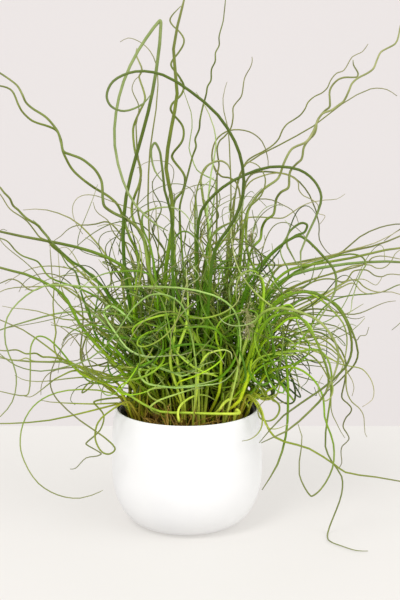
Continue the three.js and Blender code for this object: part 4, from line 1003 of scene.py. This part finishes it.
def make_stem_pieces():
    for key, bundle in bundles.items():
        if isinstance(key, str):
            tone = tone_of(key)
            bundle.make("rush_" + key, STEM_MATERIALS[tone], "stem_" + tone, key)
        else:
            node, tone = key
            bundle.make(f"rush_{node}_{tone}_shoots", STEM_MATERIALS[tone], "stem_" + tone)


# The pots and the soil
SHOULDER_HEIGHTS = (62, 70, 78, 86, 94, 101, 107, 112, 115.4)
INSIDE_HEIGHTS = (112, 105, 96, 84, 70, POT_BELLY_HEIGHT, 40, 26, 16, 9, 6)
LINER_LIP_WIDTH = 1.6
LINER_GAP = 0.4
SOIL_FOOT = 7.2
SOIL_HEIGHTS = (7, 50)
SOIL_GAP = 0.6
SOIL_DIP = 1.2
SOIL_RINGS = 22
SOIL_WAVES = 14
WAVE_PACE = 1.6
PEAT_CRUMBS = 520


def turned(name, profile, material, slot, *nodes):
    """A closed turned piece from its profile of radii and heights."""
    angles = 2 * np.pi * np.arange(TURNED_SIDES) / TURNED_SIDES
    corners, rings = [], []
    for radius, height in profile:
        if radius == 0:
            rings.append([len(corners)])
            corners.append((0, 0, height))
        else:
            rings.append(list(range(len(corners), len(corners) + TURNED_SIDES)))
            corners += [(radius * math.cos(a), radius * math.sin(a), height) for a in angles]
    faces = []
    for low, high in zip(rings, rings[1:]):
        for i in range(TURNED_SIDES):
            j = (i + 1) % TURNED_SIDES
            if len(low) == 1:
                faces.append([low[0], high[j], high[i]])
            elif len(high) == 1:
                faces.append([low[i], low[j], high[0]])
            else:
                faces.append([low[i], low[j], high[j], high[i]])
    mesh = bpy.data.meshes.new(name)
    mesh.from_pydata([(x * MM, y * MM, z * MM) for x, y, z in corners], [], faces)
    mesh.shade_smooth()
    return add_piece(name, mesh, material, slot, *nodes)


def add_cover_pot():
    profile = [(0, 0.4), (POT_BASE - 7, 0.4), (POT_BASE - 4, 0), (POT_BASE + 1, 0)]
    low_heights = [POT_BELLY_HEIGHT * (1 - math.cos(math.radians(turn))) for turn in range(8, 91, 5)]
    profile += [(pot_radius(height), height) for height in (*low_heights, *SHOULDER_HEIGHTS)]
    half_wall = POT_WALL / 2
    lip = pot_radius(POT_HEIGHT) - half_wall
    for degrees in range(0, 181, 20):
        angle = math.radians(degrees)
        height = POT_HEIGHT - half_wall + half_wall * math.sin(angle)
        profile.append((lip + half_wall * math.cos(angle), height))
    profile += [(pot_radius(height) - POT_WALL, height) for height in INSIDE_HEIGHTS]
    profile += [(pot_radius(POT_FLOOR) - 6, POT_FLOOR), (0, POT_FLOOR)]
    turned("white_cover_pot", profile, pot_material(), "cover_pot", "cover_pot")


def liner_bore(height):
    return LINER_BASE + (LINER_LIP - LINER_LIP_WIDTH - LINER_BASE) * height / LINER_TOP - LINER_WALL


def add_liner():
    foot = POT_FLOOR + LINER_GAP
    lip_foot = LINER_TOP - LINER_LIP_DEPTH
    profile = [(0, foot), (liner_bore(0) + LINER_WALL - 1, foot), (liner_bore(0) + LINER_WALL, foot + 1)]
    profile += [(liner_bore(height) + LINER_WALL, height) for height in (20, 40, 60, 80, 100, lip_foot)]
    profile += [(LINER_LIP - 0.3, lip_foot + 0.2), (LINER_LIP, lip_foot + 0.8), (LINER_LIP, LINER_TOP - 0.6)]
    profile += [(LINER_LIP - 0.5, LINER_TOP), (liner_bore(LINER_TOP) + 0.5, LINER_TOP)]
    inside = (LINER_TOP - 0.6, lip_foot, 100, 80, 50, 20, foot + 2)
    profile += [(liner_bore(height), height) for height in inside]
    profile += [(liner_bore(foot) - 1, foot + LINER_WALL), (0, foot + LINER_WALL)]
    turned("dark_growing_pot", profile, liner_material(), "growing_pot", "growing_pot")


def add_soil():
    """A block of peat with an uneven top, and crumbs on it."""
    low_bore, high_bore = (liner_bore(height) - SOIL_GAP for height in SOIL_HEIGHTS)
    flat_top = SOIL_TOP - SOIL_DIP
    profile = [(0, SOIL_FOOT), (low_bore, SOIL_FOOT), (high_bore, SOIL_HEIGHTS[1])]
    profile += [(SOIL_RADIUS * (1 - i / SOIL_RINGS), flat_top) for i in range(SOIL_RINGS + 1)]
    piece = turned("peat", profile, soil_material(), "potting_soil", "potting_soil")
    noise = np.random.default_rng(5)
    waves = []
    for _ in range(SOIL_WAVES):
        waves.append((noise.uniform(40, 320, 2), noise.uniform(0, 6.28), noise.uniform(0.2, 0.7)))
    for vertex in piece.data.vertices:
        x, y, z = vertex.co
        if z > 0.9 * SOIL_TOP * MM and math.hypot(x, y) < (SOIL_RADIUS - 0.3) * MM:
            lift = sum(h * math.sin(w[0] * x * WAVE_PACE + w[1] * y * WAVE_PACE + p) for w, p, h in waves)
            vertex.co.z += lift * MM + 0.0004
    bundle = Bundle()
    for _ in range(PEAT_CRUMBS):
        spot = np.append(random_spot(noise, SOIL_RADIUS - 3), SOIL_TOP + noise.uniform(-1.4, 0.8))
        size = noise.uniform(0.7, 2.2)
        axis = noise.normal(0, 1, 3)
        add_blob(bundle, spot, axis, size, size * noise.uniform(0.5, 0.9), noise.uniform())
    bundle.make("peat_crumbs", piece.data.materials[0], "potting_soil")


# The straw and the flower heads
STRAWS = 320
STRAW_REACH = SOIL_RADIUS - 8
STRAW_PLACES = (-1.25 * math.pi, 0.25 * math.pi)
STRAW_STEP = 4.5
STRAW_SIDES = 5
FULL_HEAD = 46
SMALL_HEAD = 30
TWIG_RADII = (0.5, 0.4, 0.3)
TWIG_SIDES = 5
BRANCH_RADII = (0.28, 0.22, 0.18)
BRANCH_SIDES = 4
SPIKELET_LENGTHS = (0.8, 1.4)
SPIKELET_WIDTHS = (0.3, 0.45)


def add_straw():
    """Dead stem ends and old sheaths that lie and stand round the stems' feet."""
    bundle = Bundle()
    for _ in range(STRAWS):
        points = [np.append(random_spot(rng, STRAW_REACH, *STRAW_PLACES), SOIL_TOP - 1)]
        upright = rng.uniform(0.15, 3.2)
        heading = unit(np.array([rng.normal(), rng.normal(), upright]))
        for _ in range(rng.integers(4, 9)):
            heading = unit(heading + rng.normal(0, 0.16, 3) - (0, 0, 0.05))
            step = points[-1] + heading * STRAW_STEP
            if math.hypot(*step[:2]) > SOIL_RADIUS - 2 or step[2] < SOIL_TOP:
                break
            points.append(step)
        if len(points) < 3:
            continue
        radii = np.linspace(rng.uniform(0.7, 1.3), 0.25, len(points))
        course, widths = smooth_course(points, radii)
        add_tube(bundle, course, widths, STRAW_SIDES, rng.uniform())
    yellows = ("745c26", "b08a30", "d8ba5c")
    material = dry_material(
        "dead_straw", yellows, (0.6, 0.55, 0.5, 1), mottling=300, grain=900, depth=0.0003, rough=0.8
    )
    bundle.make("dead_straw", material, "stem_dusky")


def add_flower_heads():
    drabs = ("868448", "a6a66c", "ccc698")
    material = dry_material(
        "dry_spikelets", drabs, (0.6, 0.6, 0.5, 1), mottling=700, grain=1400, depth=0.0002, rough=0.85
    )
    for node in sorted(name for name in frame["nodes"] if name.startswith("flower_head")):
        low, high = (np.array(corner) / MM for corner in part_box(node))
        centre, half = (low + high) / 2, (high - low) / 2
        tall = half[2] > half[0]
        arm = np.array((0, 0, half[2]) if tall else (-half[0], 0, 0))
        top, bottom = centre + arm, centre - arm
        bundle = Bundle()
        course, widths = smooth_course([top, (top + bottom) / 2 + (0.8, 0, 0), bottom], TWIG_RADII)
        add_tube(bundle, course, widths, TWIG_SIDES, 0.4)
        for _ in range(FULL_HEAD if half[2] > 10 else SMALL_HEAD):
            share = rng.uniform(0, 1)
            out = rng.normal(0, 1, 3)
            end = top + (bottom - top) * share + unit(out) * half * rng.uniform(0.5, 1.45)
            end[2] = max(end[2] - 1.5, low[2])
            start = top + (bottom - top) * share * 0.8
            branch, thin = smooth_course([start, (start + end) / 2 + (0, 0, 0.8), end], BRANCH_RADII)
            add_tube(bundle, branch, thin, BRANCH_SIDES, rng.uniform())
            for _ in range(2):
                spot = end + rng.normal(0, 0.8, 3)
                length, width = rng.uniform(*SPIKELET_LENGTHS), rng.uniform(*SPIKELET_WIDTHS)
                add_blob(bundle, spot, out + (0, 0, -0.8), length, width, rng.uniform())
        bundle.make("dry_" + node, material, "flower_head", node)


# The stage and its light: a table that ends behind the pot, where the photo's does, and a far wall
TABLE_BACK = 0.33
STAGE_REACH = 4
WALL_FOOT = -2


def add_stage():
    def plane(name, corners, code, rough, glow):
        mesh = bpy.data.meshes.new(name)
        mesh.from_pydata(corners, [], [[0, 1, 2, 3]])
        mesh.materials.append(stage_material(name, code, rough, glow))
        add_object(name, mesh)

    reach, back, low = STAGE_REACH, TABLE_BACK, WALL_FOOT
    table = [(-reach, -reach, 0), (reach, -reach, 0), (reach, back, 0), (-reach, back, 0)]
    wall = [(-reach, reach, low), (reach, reach, low), (reach, reach, reach), (-reach, reach, reach)]
    plane("table", table, "9c9a97", rough=0.6, glow=1.28)
    plane("wall", wall, "e2dddc", rough=0.9, glow=0.06)


def add_light(name, location, target, size, power):
    data = bpy.data.lights.new(name, "AREA")
    data.shape = "DISK"
    data.size = size
    data.energy = power
    light = add_object(name, data)
    light.location = location
    way = np.array(target) - np.array(location)
    flat = math.hypot(*way[:2])
    light.rotation_euler = (math.atan2(flat, -way[2]), 0, math.atan2(way[1], way[0]) - math.pi / 2)


def light_stage():
    world = bpy.data.worlds.new("studio")
    world.use_nodes = True
    sky = world.node_tree.nodes["Background"].inputs
    sky["Color"].default_value = (1, 0.99, 0.985, 1)
    sky["Strength"].default_value = 0.9
    bpy.context.scene.world = world
    add_light("key", (-1.1, -1.7, 2.4), target=(0, 0, 0.15), size=1.1, power=48)
    add_light("fill", (1.8, -1.2, 1.6), target=(0, 0, 0.2), size=2.0, power=28)
    bpy.context.scene.view_settings.view_transform = "Standard"


add_solid_stems()
add_drawn_stems()
for kind in THICKET:
    add_thicket(kind)
make_stem_pieces()
add_cover_pot()
add_liner()
add_soil()
add_straw()
add_flower_heads()
add_stage()
light_stage()
